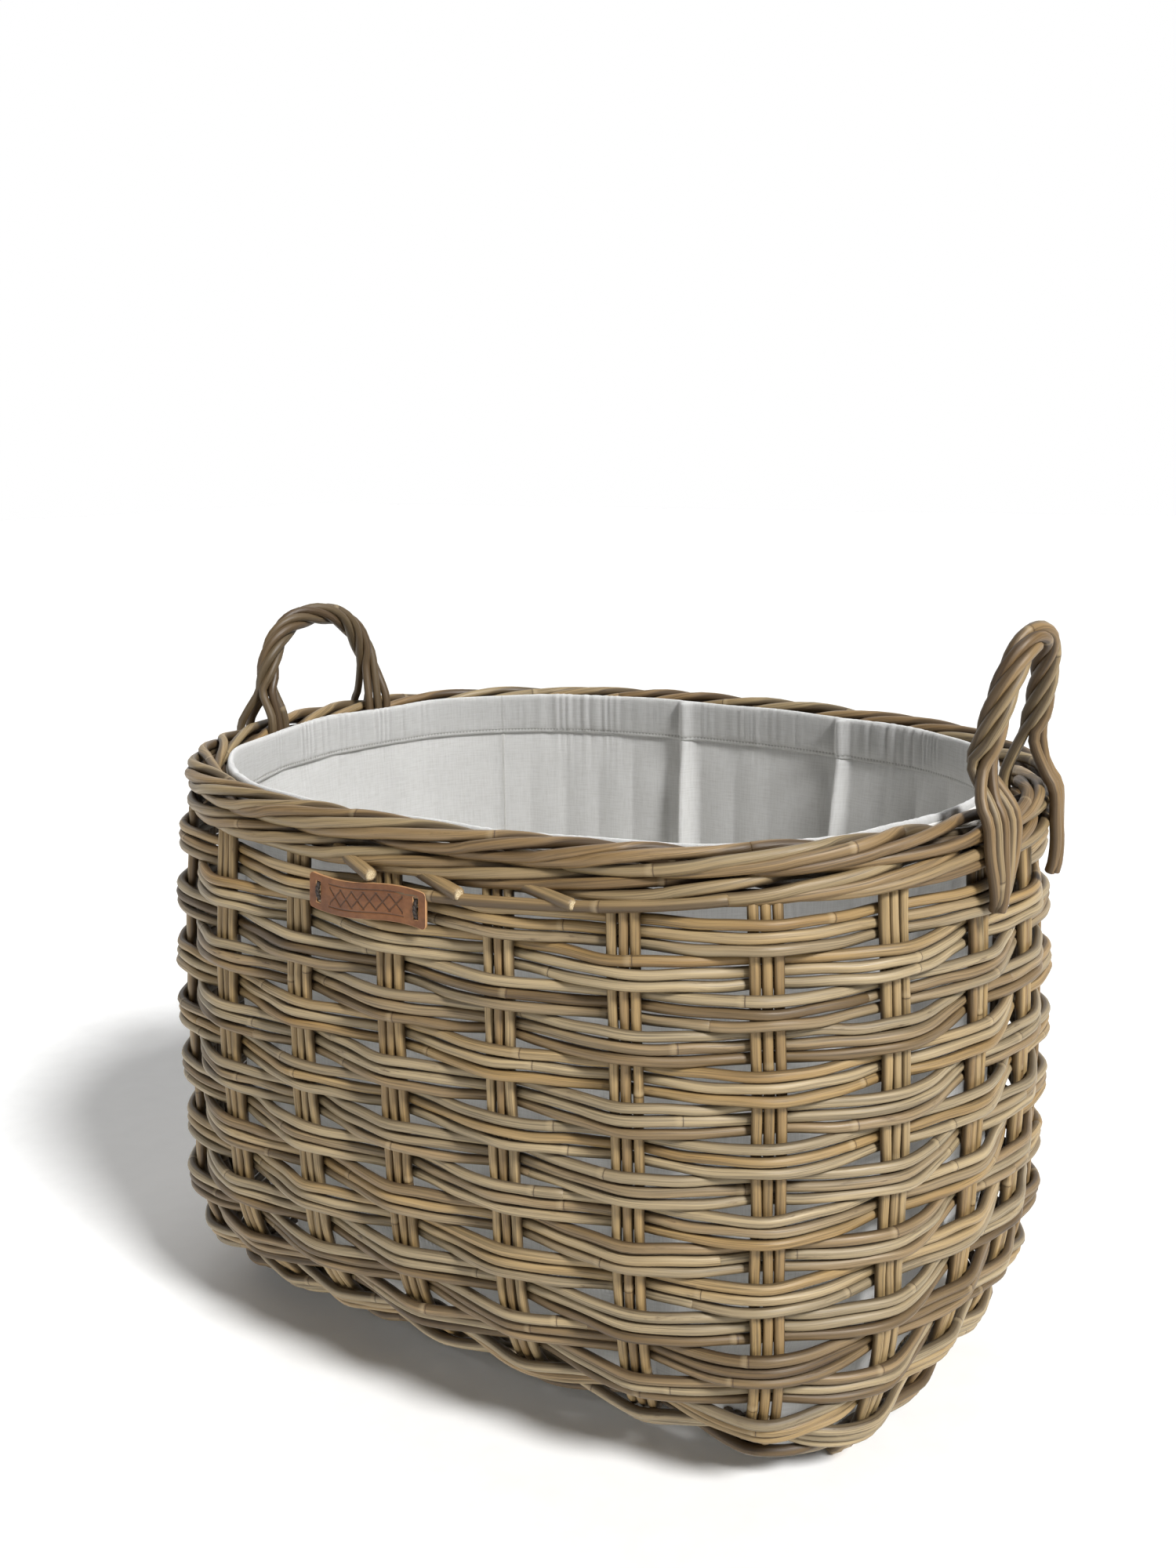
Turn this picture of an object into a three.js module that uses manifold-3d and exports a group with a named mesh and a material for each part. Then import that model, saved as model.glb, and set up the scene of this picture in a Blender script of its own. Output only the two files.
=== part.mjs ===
// Wicker log basket with two roped handles, a leather label and a lift-out cotton liner.
// Millimetres, +Z up, standing on Z = 0, long axis along X, labelled side towards -Y.
import * as THREE from 'three';
import Module from 'manifold-3d';
import { mergeVertices } from 'three/addons/utils/BufferGeometryUtils.js';

const wasm = await Module();
wasm.setup();

// Driving dimensions of the weave.
const STAKES = 22;               // upright groups of three canes
const ROWS = 17;                 // rows of three weavers, row 0 just under the border
const ROW_PITCH = 22;            // measured down the wall
const CANE = 6.6;                // cane diameter
const GAP = 0.4;                 // clearance between neighbouring pieces
const FIRST_STAKE = -2.95 / STAKES; // share of the way round from the middle of the front

// Driving dimensions of the wall, on the line that the stakes follow.
const HALF_LENGTH = 310;         // at row 0
const HALF_WIDTH = 238;
const FLARE = 3.2;               // degrees that the wall leans out at row 0
const TURN_PER_ROW = 0.72;       // degrees that it leans back in with each row
const BASE_START_ROW = 10;       // below this row the wall turns in towards the base
const BASE_TURN_ENDS = 28;       // degrees more at the last row, short ends
const BASE_TURN_SIDES = 64;      // and long sides
const CORNER_DROP = 19;          // how far the base corners reach below the middles
const ROW_0_HEIGHT = 371;

// Driving dimensions of the rim. Heights on it are measured from the middle of the border.
const RIM_HALF_LENGTH = 313.5;   // border centre line
const RIM_HALF_WIDTH = 231;
const RIM_CORNER = 217;
const RIM_HEIGHT = 410;
const RIM_TILT = 0.024;          // the rim stands a little higher towards the back
const BACK_RISE = 0.044;         // the upper rows rise towards the back to follow it
const TILT_ENDS_AT_ROW = 6;
const BORDER_HALF_WIDTH = 13;
const BORDER_HALF_HEIGHT = 17;
const UPPER_COURSE_INSET = 1.5;  // the upper course is a little narrower

// Base: a mat of crossing bars.
const MAT_HALF_LENGTH = 236;
const MAT_HALF_WIDTH = 116;
const LENGTHWISE_PLACES = [-105, -36, 36, 105];
const CROSSWISE_PLACES = [-176, -88, 0, 88, 176];

// Handles. Each arch was bent by hand, so the two differ. shift is towards the back, lean outwards.
const HANDLE_LEFT = { side: -1, turn: 0.75, shift: 21, halfSpan: 60, rise: 81, lean: 4.5 };
const HANDLE_RIGHT = { side: 1, turn: 0.25, shift: 3, halfSpan: 46, rise: 101, lean: 22 };
const ROPE_RADIUS = 9;
const FOOT_INSET = 7;            // border centre line to the middle of a foot
const TAIL_WIDTH = 20;           // splayed strands below each foot
const TAIL_THICKNESS = 6.6;

// Liner and label.
const CLOTH = 1.6;               // plain stand-in thickness of the liner
const HEM_TOP = 14;              // above the border's middle
const HEM_HEIGHT = 35;
const HEM_INSET = 16;            // border centre line to the hem's outer leaf
const HEM_INSET_AT_HANDLES = 22; // it is pushed in where the handles' strands pass
const HEM_SPACE = 5;             // between the two leaves of the hem
const LABEL_LENGTH = 95;
const LABEL_HEIGHT = 23;
const LABEL_THICKNESS = 2;
const LABEL_STAKE = 2.9;         // label centre, counted in stakes
const BAR_WIDTH = 3 * CANE;
const BAND_THICKNESS = CANE;
const BAND_HEIGHT = ROW_PITCH - 1.4;
const BAND_OFFSET = CANE + GAP + 0.8; // band centre to wall line where it passes a stake
const STAKE_CLEAR = 12;          // half the stretch on which a band stays off a stake

const radians = THREE.MathUtils.degToRad;
const group = new THREE.Group();

function add(name, geometry, color, roughness) {
  const material = new THREE.MeshStandardMaterial({ color, roughness, metalness: 0 });
  const mesh = new THREE.Mesh(geometry, material);
  mesh.name = name;
  group.add(mesh);
}

// Value at x on a line through a few [x, value] knots.
function between(knots, x) {
  let i = 1;
  while (i < knots.length - 1 && x > knots[i][0]) i += 1;
  const [x0, v0] = knots[i - 1];
  const [x1, v1] = knots[i];
  const share = THREE.MathUtils.clamp((x - x0) / (x1 - x0), 0, 1);
  return v0 + (v1 - v0) * share;
}

const cornerRadius = (row) => between([[0, 193], [10, 164], [14, 99], [16.5, 61]], row);
const sideArc = (row) => radians(between([[0, 12], [16.5, 9.4]], row));

// How far the wall has moved in and down at a row, from its lean summed row by row.
function profile(row, baseTurn) {
  const steps = 64;
  let inset = 0;
  let drop = 0;
  for (let i = 0; i < steps; i += 1) {
    const at = (row * (i + 0.5)) / steps;
    const share = Math.max(0, (at - BASE_START_ROW) / (ROWS - 1 - BASE_START_ROW));
    const lean = radians(TURN_PER_ROW * Math.max(0, at) - FLARE + baseTurn * share ** 1.6);
    inset += (Math.sin(lean) * ROW_PITCH * row) / steps;
    drop += (Math.cos(lean) * ROW_PITCH * row) / steps;
  }
  return { inset, drop };
}

// Plan of the basket: long arcs on the sides and ends, joined by round corners without a kink.
// turn runs from 0 to 1, from the middle of the front round past +X, at even arc length.
function outline(a, b, r, arc, turn) {
  const wrapped = ((turn % 1) + 1) % 1;
  const quarter = Math.floor(wrapped * 4);
  const flipped = quarter % 2 === 1;
  const part = flipped ? 1 - (wrapped * 4 - quarter) : wrapped * 4 - quarter;
  const sin = Math.sin(arc);
  const rise = 1 - Math.cos(arc);
  const restA = a - r * (Math.cos(arc) - sin);
  const restB = b - r * (Math.cos(arc) - sin);
  const scale = sin * sin - rise * rise;
  const rFront = (restA * sin - restB * rise) / scale;
  const rEnd = (restB * sin - restA * rise) / scale;
  const front = rFront * arc;
  const corner = r * (Math.PI / 2 - 2 * arc);
  const length = front + corner + rEnd * arc;
  const s = part * length;
  let angle;
  let x;
  let y;
  if (s < front) {
    angle = s / rFront;
    x = rFront * Math.sin(angle);
    y = rFront * (1 - Math.cos(angle)) - b;
  } else if (s < front + corner) {
    angle = arc + (s - front) / r;
    x = (rFront - r) * sin + r * Math.sin(angle);
    y = rFront * rise - b + r * (Math.cos(arc) - Math.cos(angle));
  } else {
    angle = Math.PI / 2 - arc + (s - front - corner) / rEnd;
    x = a - rEnd + rEnd * Math.sin(angle);
    y = -rEnd * Math.cos(angle);
  }
  const sx = quarter < 2 ? 1 : -1;
  const sy = quarter === 0 || quarter === 3 ? 1 : -1;
  const normal = new THREE.Vector3(sx * Math.sin(angle), -sy * Math.cos(angle), 0);
  return { x: sx * x, y: sy * y, normal, perimeter: 4 * length };
}

// Half length and half width of the wall line at a row.
function halfSizes(row) {
  const ends = profile(row, BASE_TURN_ENDS);
  const sides = profile(row, BASE_TURN_SIDES);
  const [a, b] = [HALF_LENGTH - ends.inset, HALF_WIDTH - sides.inset];
  return { a, b, endDrop: ends.drop, sideDrop: sides.drop };
}

function wallPoint(turn, row) {
  const { a, b, endDrop, sideDrop } = halfSizes(row);
  const at = outline(a, b, cornerRadius(row), sideArc(row), turn);
  const drop = endDrop * at.normal.x ** 2 + sideDrop * at.normal.y ** 2;
  const share = Math.max(0, (row - BASE_START_ROW + 1) / (ROWS - BASE_START_ROW));
  const corner = (CORNER_DROP * share * share * Math.abs(at.x * at.y)) / (a * b);
  const tilt = BACK_RISE * Math.max(0, at.y) * THREE.MathUtils.clamp(1 - row / TILT_ENDS_AT_ROW, 0, 1);
  return new THREE.Vector3(at.x, at.y, ROW_0_HEIGHT - drop - corner + tilt);
}

// Point on the wall with its directions: out of the wall, down it, and along it.
function wallFrame(turn, row) {
  const point = wallPoint(turn, row);
  const down = wallPoint(turn, row + 0.4).sub(wallPoint(turn, row - 0.4)).normalize();
  const along = wallPoint(turn + 0.002, row).sub(wallPoint(turn - 0.002, row)).normalize();
  const out = new THREE.Vector3().crossVectors(down, along).normalize();
  return { point, down, along, out };
}

// Point offset from a wall frame: outwards, down the wall and along it.
function offset(frame, out, down, along = 0) {
  return frame.point.clone()
    .addScaledVector(frame.out, out)
    .addScaledVector(frame.down, down)
    .addScaledVector(frame.along, along);
}

// Closed body through equal loops of points, as a ring or with a cap on each end.
function loft(loops, isRing) {
  const count = loops[0].length;
  const positions = loops.flat().flatMap((p) => [p.x, p.y, p.z]);
  const index = [];
  const last = isRing ? loops.length : loops.length - 1;
  for (let i = 0; i < last; i += 1) {
    const j = (i + 1) % loops.length;
    for (let k = 0; k < count; k += 1) {
      const m = (k + 1) % count;
      index.push(i * count + k, i * count + m, j * count + k);
      index.push(i * count + m, j * count + m, j * count + k);
    }
  }
  if (!isRing) {
    const end = (loops.length - 1) * count;
    for (let k = 1; k < count - 1; k += 1) {
      index.push(0, k + 1, k);
      index.push(end, end + k, end + k + 1);
    }
  }
  const geometry = new THREE.BufferGeometry();
  geometry.setAttribute('position', new THREE.Float32BufferAttribute(positions, 3));
  geometry.setIndex(index);
  return outward(geometry);
}

// Turns a body's faces outwards if its signed volume is negative.
function outward(geometry) {
  const p = geometry.getAttribute('position');
  const corners = geometry.getIndex().array;
  const [a, b, c] = [new THREE.Vector3(), new THREE.Vector3(), new THREE.Vector3()];
  let volume = 0;
  for (let i = 0; i < corners.length; i += 3) {
    a.fromBufferAttribute(p, corners[i]);
    b.fromBufferAttribute(p, corners[i + 1]);
    c.fromBufferAttribute(p, corners[i + 2]);
    volume += a.dot(b.cross(c));
  }
  if (volume < 0) corners.reverse();
  return geometry;
}

function toSolid(geometry) {
  const plain = geometry.clone();
  plain.deleteAttribute('normal');
  plain.deleteAttribute('uv');
  const merged = mergeVertices(plain);
  return new wasm.Manifold(new wasm.Mesh({
    numProp: 3,
    vertProperties: new Float32Array(merged.getAttribute('position').array),
    triVerts: new Uint32Array(merged.getIndex().array),
  }));
}

function toGeometry(solid) {
  const { vertProperties, triVerts } = solid.getMesh();
  const geometry = new THREE.BufferGeometry();
  geometry.setAttribute('position', new THREE.Float32BufferAttribute(vertProperties, 3));
  geometry.setIndex(Array.from(triVerts));
  return geometry;
}

// Ring whose section at each turn is a loop of points.
function ring(turns, sectionAt) {
  return loft(turns.map(sectionAt), true);
}

const evenTurns = Array.from({ length: 2 * STAKES }, (_, i) => i / (2 * STAKES));
const stakeTurn = (stake) => FIRST_STAKE + stake / STAKES;

// Stakes: flat bars of three canes that follow the wall and turn in under the base.
const STAKE_ROWS = [-0.6, 0, 4, 8, 10, 11, 12, 13, 14, 15, 16, 16.45];

function stakeBar(stake) {
  const [w, t] = [BAR_WIDTH / 2, CANE / 2];
  const frames = STAKE_ROWS.map((row) => wallFrame(stakeTurn(stake), row));
  return loft(frames.map((frame) => (
    [[t, w], [t, -w], [-t, -w], [-t, w]].map(([out, along]) => offset(frame, out, 0, along))
  )), false);
}

// Weaver rows: three canes as one band that passes outside every second stake.
function weaverBand(row) {
  const { a, b } = halfSizes(row);
  const { perimeter } = outline(a, b, cornerRadius(row), sideArc(row), 0);
  const clear = STAKE_CLEAR / perimeter;
  const distance = BAND_OFFSET + between([[9, 0], [13, 1.2], [16, 1.6]], row);
  const h = between([[13, BAND_HEIGHT / 2], [16, BAND_HEIGHT / 2 - 1.4]], row);
  const t = BAND_THICKNESS / 2;
  const loops = [];
  for (let stake = 0; stake < STAKES; stake += 1) {
    const side = (stake + row) % 2 === 0 ? distance : -distance;
    for (const step of [-clear, clear]) {
      const frame = wallFrame(stakeTurn(stake) + step, row);
      const corners = [[t, -h], [t, h], [-t, h], [-t, -h]];
      loops.push(corners.map(([out, down]) => offset(frame, side + out, down)));
    }
  }
  return loft(loops, true);
}

// Point of the rim: distance out from the border's centre line and up from its middle.
function rimPoint(turn, out, up) {
  const at = outline(RIM_HALF_LENGTH, RIM_HALF_WIDTH, RIM_CORNER, sideArc(0), turn);
  return new THREE.Vector3(
    at.x + at.normal.x * out,
    at.y + at.normal.y * out,
    RIM_HEIGHT + RIM_TILT * at.y + up,
  );
}

const RIM_LENGTH = outline(RIM_HALF_LENGTH, RIM_HALF_WIDTH, RIM_CORNER, sideArc(0), 0).perimeter;

// Border course: a ring with an eight-sided section.
function borderCourse(halfWidth, bottom, top) {
  const middle = (bottom + top) / 2;
  const halfHeight = (top - bottom) / 2;
  const bevel = halfHeight * 0.45;
  const flat = halfWidth - bevel;
  const corners = [
    [halfWidth, bevel], [flat, halfHeight], [-flat, halfHeight], [-halfWidth, bevel],
    [-halfWidth, -bevel], [-flat, -halfHeight], [flat, -halfHeight], [halfWidth, -bevel],
  ];
  return ring(evenTurns, (turn) => corners.map(([out, up]) => rimPoint(turn, out, middle + up)));
}

// Base mat: bars of three canes side by side, lengthwise ones on the floor, crosswise ones on them.
function baseBar(halfLength, halfWidth, bottom, isCrosswise, place) {
  const size = isCrosswise ? [2 * halfWidth, 2 * halfLength] : [2 * halfLength, 2 * halfWidth];
  const bar = new THREE.BoxGeometry(size[0], size[1], CANE);
  bar.translate(isCrosswise ? place : 0, isCrosswise ? 0 : place, bottom + CANE / 2);
  return bar;
}

// Handle: a roped arch across the short end, with its strands splayed outside and inside the border.
function handleSolid({ side, turn, shift, halfSpan, rise, lean }) {
  const footTurns = [-1, 1].map((end) => turn + (side * (shift + end * halfSpan)) / RIM_LENGTH);
  const feet = footTurns.map((at) => rimPoint(at, -FOOT_INSET, BORDER_HALF_HEIGHT + 2 * GAP));
  const middle = feet[0].clone().add(feet[1]).multiplyScalar(0.5);
  const reach = feet[1].clone().sub(feet[0]).multiplyScalar(0.5);
  const centreAt = (angle) => middle.clone()
    .addScaledVector(reach, -archSpan(angle))
    .add(new THREE.Vector3(side * lean, 0, rise).multiplyScalar(archRise(angle)));
  const steps = 16;
  const sides = 8;
  const loops = [];
  for (let i = 0; i <= steps; i += 1) {
    const angle = (Math.PI * i) / steps;
    const ahead = centreAt(Math.min(angle + 0.02, Math.PI));
    const isFoot = i === 0 || i === steps;
    const along = isFoot
      ? new THREE.Vector3(0, 0, i === 0 ? 1 : -1)
      : ahead.sub(centreAt(Math.max(angle - 0.02, 0))).normalize();
    const across = new THREE.Vector3(side, 0, 0).projectOnPlane(along).normalize();
    const up = new THREE.Vector3().crossVectors(along, across);
    const loop = [];
    for (let k = 0; k < sides; k += 1) {
      const round = (2 * Math.PI * (k + 0.5)) / sides;
      loop.push(centreAt(angle)
        .addScaledVector(across, ROPE_RADIUS * Math.cos(round))
        .addScaledVector(up, ROPE_RADIUS * Math.sin(round)));
    }
    loops.push(loop);
  }
  let solid = toSolid(loft(loops, false));
  for (const at of footTurns) {
    for (const way of [-1, 1]) solid = solid.add(toSolid(handleTail(at, way)));
  }
  return toGeometry(solid);
}

// Share of the half span and of the rise at an angle round the arch.
const archSpan = (angle) => Math.sign(Math.cos(angle)) * Math.abs(Math.cos(angle)) ** 0.8;
const archRise = (angle) => Math.abs(Math.sin(angle)) ** 0.8;

// Splayed strands of one foot: over the border and down its outer (way 1) or inner (way -1) face.
function handleTail(turn, way) {
  const t = TAIL_THICKNESS / 2;
  const clear = BORDER_HALF_WIDTH + GAP + t + (way > 0 ? 0.4 : 1.3);
  const top = BORDER_HALF_HEIGHT;
  const start = -way * FOOT_INSET;
  const over = way > 0 ? [[4, top + 10], [clear - 3, top + 3]] : [[13, top + 9], [clear - 1.5, top + 1]];
  const path = [[start + 3, top + 16], ...over, [clear, top - 7], [clear, -top]];
  if (way > 0) path.push([clear - 2, -top - 20]);
  const loops = path.map(([out, up], i) => {
    const before = path[Math.max(0, i - 1)];
    const after = path[Math.min(path.length - 1, i + 1)];
    const fall = new THREE.Vector2(after[0] - before[0], after[1] - before[1]).normalize();
    const tangent = rimPoint(turn + 0.002, 0, 0).sub(rimPoint(turn - 0.002, 0, 0)).normalize();
    return [[1, -1], [1, 1], [-1, 1], [-1, -1]].map(([face, edge]) => (
      rimPoint(turn, way * (out - face * t * fall.y), up + face * t * fall.x)
        .addScaledVector(tangent, (edge * TAIL_WIDTH) / 2)
    ));
  });
  return loft(loops, false);
}

// How far the hem stands inside the border's centre line: more round the handles.
function hemInset(turn) {
  const share = Math.abs((((turn * 2) % 1) + 1) % 1 - 0.5);
  const near = 1 - THREE.MathUtils.smoothstep((share * RIM_LENGTH) / 2, 95, 140);
  return HEM_INSET + (HEM_INSET_AT_HANDLES - HEM_INSET) * near;
}

// Liner: thin cloth straight down from the hem to a seam, then in over the last rows to the base mat.
// Each step is a height and how far it has come in from the hem's outline to the knee's outline.
const LINER_FLOOR = 2 * CANE + GAP + 1.2;
const LINER_SEAM = 130;
const LINER_LOWER_STEPS = [
  [LINER_SEAM, 0], [118, 0.04], [108, 0.1], [96, 0.25], [84, 0.42], [74, 0.62], [66, 0.84], [57, 1],
];
const KNEE_INSET = 22.5;         // last row's line to the liner where it turns down to the mat
const FOOT_SIDE_INSET = 27;         // and where it meets the floor panel

function linerTop(turn, cloth, up) {
  return rimPoint(turn, -hemInset(turn) - 1 - cloth, up);
}

function linerWallSection(turn) {
  const low = (cloth) => linerTop(turn, cloth, 0).setZ(LINER_SEAM + GAP);
  const high = (cloth) => linerTop(turn, cloth, HEM_TOP - HEM_HEIGHT - GAP);
  return [high(0), low(0), low(CLOTH), high(CLOTH)];
}

function linerLowerSection(turn) {
  const face = (cloth) => {
    const knee = linerRing(turn, KNEE_INSET + cloth);
    const points = LINER_LOWER_STEPS.map(([z, share], i) => (
      linerTop(turn, cloth, 0).lerp(knee, share).setZ(z + (i > 0 ? cloth : 0))
    ));
    return [...points, linerRing(turn, FOOT_SIDE_INSET + 1.5 * cloth).setZ(LINER_FLOOR)];
  };
  return [...face(0), ...face(CLOTH).reverse()];
}

// Outline parallel to the last row, moved in.
function linerRing(turn, inset) {
  const { a, b } = halfSizes(ROWS - 1);
  const corner = cornerRadius(ROWS - 1) - Math.max(0, inset - KNEE_INSET) / 2;
  const at = outline(a - inset, b - inset, corner, sideArc(ROWS - 1), turn);
  return new THREE.Vector3(at.x, at.y, 0);
}

// Hem: the liner's top folded over into a casing, open along its bottom edge.
function hemSection(turn) {
  const o = -hemInset(turn);
  const i = o - 2 * CLOTH - HEM_SPACE;
  const low = HEM_TOP - HEM_HEIGHT;
  return [
    rimPoint(turn, o, low), rimPoint(turn, o, HEM_TOP),
    rimPoint(turn, i, HEM_TOP), rimPoint(turn, i, low),
    rimPoint(turn, i + CLOTH, low), rimPoint(turn, i + CLOTH, HEM_TOP - CLOTH),
    rimPoint(turn, o - CLOTH, HEM_TOP - CLOTH), rimPoint(turn, o - CLOTH, low),
  ];
}

// Elastic: a flat band that lies in the hem.
function elasticSection(turn) {
  const middle = -hemInset(turn) - CLOTH - HEM_SPACE / 2;
  const [low, high] = [HEM_TOP - HEM_HEIGHT + 5, HEM_TOP - CLOTH - 4];
  return [[0.8, low], [0.8, high], [-0.8, high], [-0.8, low]].map(([out, up]) => (
    rimPoint(turn, middle + out, up)
  ));
}

function linerBase() {
  const rim = evenTurns.map((turn) => linerRing(turn, FOOT_SIDE_INSET + 2.5 * CLOTH + 2));
  const shape = new THREE.Shape(rim.map((p) => new THREE.Vector2(p.x, p.y)));
  const panel = new THREE.ExtrudeGeometry(shape, { depth: CLOTH, bevelEnabled: false });
  panel.translate(0, 0, LINER_FLOOR - 0.8);
  return panel;
}

// Label: a leather strip bent along the wall under the border, with a slot near each end.
const LABEL_OUT = BAND_OFFSET + BAND_THICKNESS / 2 + GAP + 0.4;
const SLOT_PLACE = 0.42 * LABEL_LENGTH;
const SLOT = [3.2, 13];

function labelPoint(along, out, up) {
  const { a, b } = halfSizes(0);
  const { perimeter } = outline(a, b, cornerRadius(0), sideArc(0), 0);
  const frame = wallFrame(stakeTurn(LABEL_STAKE) + along / perimeter, 0);
  return offset(frame, LABEL_OUT + out, -up);
}

function labelStrip(from, to, height, low, high, steps) {
  const loops = [];
  for (let i = 0; i <= steps; i += 1) {
    const along = from + ((to - from) * i) / steps;
    const half = height / 2;
    const corners = [[high, half], [high, -half], [low, -half], [low, half]];
    loops.push(corners.map(([out, up]) => labelPoint(along, out, up)));
  }
  return loft(loops, false);
}

function labelSolid() {
  let solid = toSolid(labelStrip(-LABEL_LENGTH / 2, LABEL_LENGTH / 2, LABEL_HEIGHT, 0, LABEL_THICKNESS, 8));
  for (const side of [-1, 1]) {
    const middle = side * SLOT_PLACE;
    const slot = labelStrip(middle - SLOT[0] / 2, middle + SLOT[0] / 2, SLOT[1], -3, 6, 1);
    solid = solid.subtract(toSolid(slot));
  }
  return toGeometry(solid);
}

function labelTie(side) {
  const half = SLOT[0] / 2 - GAP;
  const [from, to] = [side * SLOT_PLACE - half, side * SLOT_PLACE + half];
  return labelStrip(from, to, SLOT[1] - 2, 0, LABEL_THICKNESS + 0.8, 1);
}

// The assembly.
const two = (number) => String(number).padStart(2, '0');
const WEAVER_COLOURS = [0xa5947c, 0xb09873, 0x9c8c74, 0xa89068];

for (let stake = 0; stake < STAKES; stake += 1) {
  add(`stake_${two(stake + 1)}`, stakeBar(stake), 0xc0a878, 0.6);
}
for (let row = 0; row < ROWS; row += 1) {
  add(`weaver_row_${two(row + 1)}`, weaverBand(row), WEAVER_COLOURS[row % WEAVER_COLOURS.length], 0.62);
}

const upperHalfWidth = BORDER_HALF_WIDTH - UPPER_COURSE_INSET;
add('border_lower_course', borderCourse(BORDER_HALF_WIDTH, -BORDER_HALF_HEIGHT, -GAP / 2), 0xa08a68, 0.6);
add('border_upper_course', borderCourse(upperHalfWidth, GAP / 2, BORDER_HALF_HEIGHT), 0xa8916c, 0.6);
add('handle_left', handleSolid(HANDLE_LEFT), 0x9a8560, 0.58);
add('handle_right', handleSolid(HANDLE_RIGHT), 0x9a8560, 0.58);

LENGTHWISE_PLACES.forEach((place, i) => {
  const bar = baseBar(MAT_HALF_LENGTH, BAR_WIDTH / 2, 0, false, place);
  add(`base_lengthwise_${i + 1}`, bar, 0x8e7a5c, 0.65);
});
CROSSWISE_PLACES.forEach((place, i) => {
  const bar = baseBar(MAT_HALF_WIDTH, BAR_WIDTH / 2, CANE + GAP, true, place);
  add(`base_crosswise_${i + 1}`, bar, 0x967f5e, 0.65);
});

add('liner_wall', ring(evenTurns, linerWallSection), 0xe9e7e2, 0.9);
add('liner_lower_wall', ring(evenTurns, linerLowerSection), 0xe9e7e2, 0.9);
add('liner_hem', ring(evenTurns, hemSection), 0xefede8, 0.9);
add('liner_elastic', ring(evenTurns, elasticSection), 0xf4f2ee, 0.8);
add('liner_base', linerBase(), 0xe4e2dc, 0.9);

add('label', labelSolid(), 0xa55a37, 0.55);
add('label_tie_left', labelTie(-1), 0x2b2420, 0.7);
add('label_tie_right', labelTie(1), 0x2b2420, 0.7);

export default group;
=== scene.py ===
import math

import bmesh
import bpy
import numpy as np
from mathutils import Matrix, Vector


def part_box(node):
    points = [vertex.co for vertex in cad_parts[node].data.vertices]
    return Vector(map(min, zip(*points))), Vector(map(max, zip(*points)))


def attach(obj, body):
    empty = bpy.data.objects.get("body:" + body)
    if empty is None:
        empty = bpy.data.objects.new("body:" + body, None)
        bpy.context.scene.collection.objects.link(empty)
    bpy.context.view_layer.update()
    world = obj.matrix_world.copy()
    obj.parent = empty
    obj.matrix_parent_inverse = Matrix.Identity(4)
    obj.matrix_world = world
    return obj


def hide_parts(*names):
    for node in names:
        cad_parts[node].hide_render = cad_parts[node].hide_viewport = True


# Wicker log basket: canes, border, handles, cloth liner and leather label around the CAD frame.
# Metres, +Z up, standing on Z = 0, long axis along X, labelled side towards -Y.

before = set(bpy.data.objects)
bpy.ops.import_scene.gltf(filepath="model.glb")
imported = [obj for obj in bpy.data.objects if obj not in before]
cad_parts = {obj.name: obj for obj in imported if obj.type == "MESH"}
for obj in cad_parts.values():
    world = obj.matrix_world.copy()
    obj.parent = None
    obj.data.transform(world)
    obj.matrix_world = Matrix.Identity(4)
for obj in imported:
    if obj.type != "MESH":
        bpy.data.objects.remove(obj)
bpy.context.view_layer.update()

MM = 0.001

# The wall, as in the CAD.
STAKES = 22
ROWS = 17
ROW_PITCH = 22 * MM
FIRST_STAKE = -2.95 / STAKES
HALF_LENGTH = 310 * MM
HALF_WIDTH = 238 * MM
FLARE = 3.2
TURN_PER_ROW = 0.72
BASE_START_ROW = 10
BASE_TURN_ENDS = 28
BASE_TURN_SIDES = 64
CORNER_DROP = 19 * MM
ROW_0_HEIGHT = 371 * MM

# The rim, as in the CAD.
RIM_HALF_LENGTH = 313.5 * MM
RIM_HALF_WIDTH = 231 * MM
RIM_CORNER = 217 * MM
RIM_HEIGHT = 410 * MM
RIM_TILT = 0.024
BACK_RISE = 0.044            # the upper rows rise towards the back to follow it
TILT_ENDS_AT_ROW = 6
BORDER_HALF_WIDTH = 13 * MM
BORDER_HALF_HEIGHT = 17 * MM
HEM_TOP = 14 * MM            # above the border's middle
HEM_HEIGHT = 35 * MM
HEM_INSET = 16 * MM
HEM_INSET_AT_HANDLES = 22 * MM
LABEL_STAKE = 2.9

# Looks of the weave.
SIDES = 9                    # sides of a cane's section
STEP = 6 * MM                # spacing of a cane's rings
SWING = 7.5 * MM             # how far a weaver passes from the stakes' line
SPACING = 7.3 * MM          # between the canes of a row or a stake
KNUCKLE_RINGS = (-6, -3, -1.4, -0.5, 0, 0.5, 1.4, 3)    # rings round a knuckle, in mm along the cane
UP = np.array([0, 0, 1.0])


# ---- the wall's shape

ROW_GRID = np.linspace(-3, 19, 2201)


def running_sum(values, step):
    """Integral of values along ROW_GRID, counted from row 0."""
    total = np.concatenate([[0], np.cumsum((values[1:] + values[:-1]) / 2 * step)])
    return total - np.interp(0, ROW_GRID, total)


def lean_profile(base_turn):
    """How far in and down the wall has gone at each row of ROW_GRID."""
    share = np.maximum(0, (ROW_GRID - BASE_START_ROW) / (ROWS - 1 - BASE_START_ROW))
    lean = np.radians(TURN_PER_ROW * np.maximum(0, ROW_GRID) - FLARE + base_turn * share ** 1.6)
    step = ROW_PITCH * (ROW_GRID[1] - ROW_GRID[0])
    return running_sum(np.sin(lean), step), running_sum(np.cos(lean), step)


END_PROFILE = lean_profile(BASE_TURN_ENDS)
SIDE_PROFILE = lean_profile(BASE_TURN_SIDES)


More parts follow.
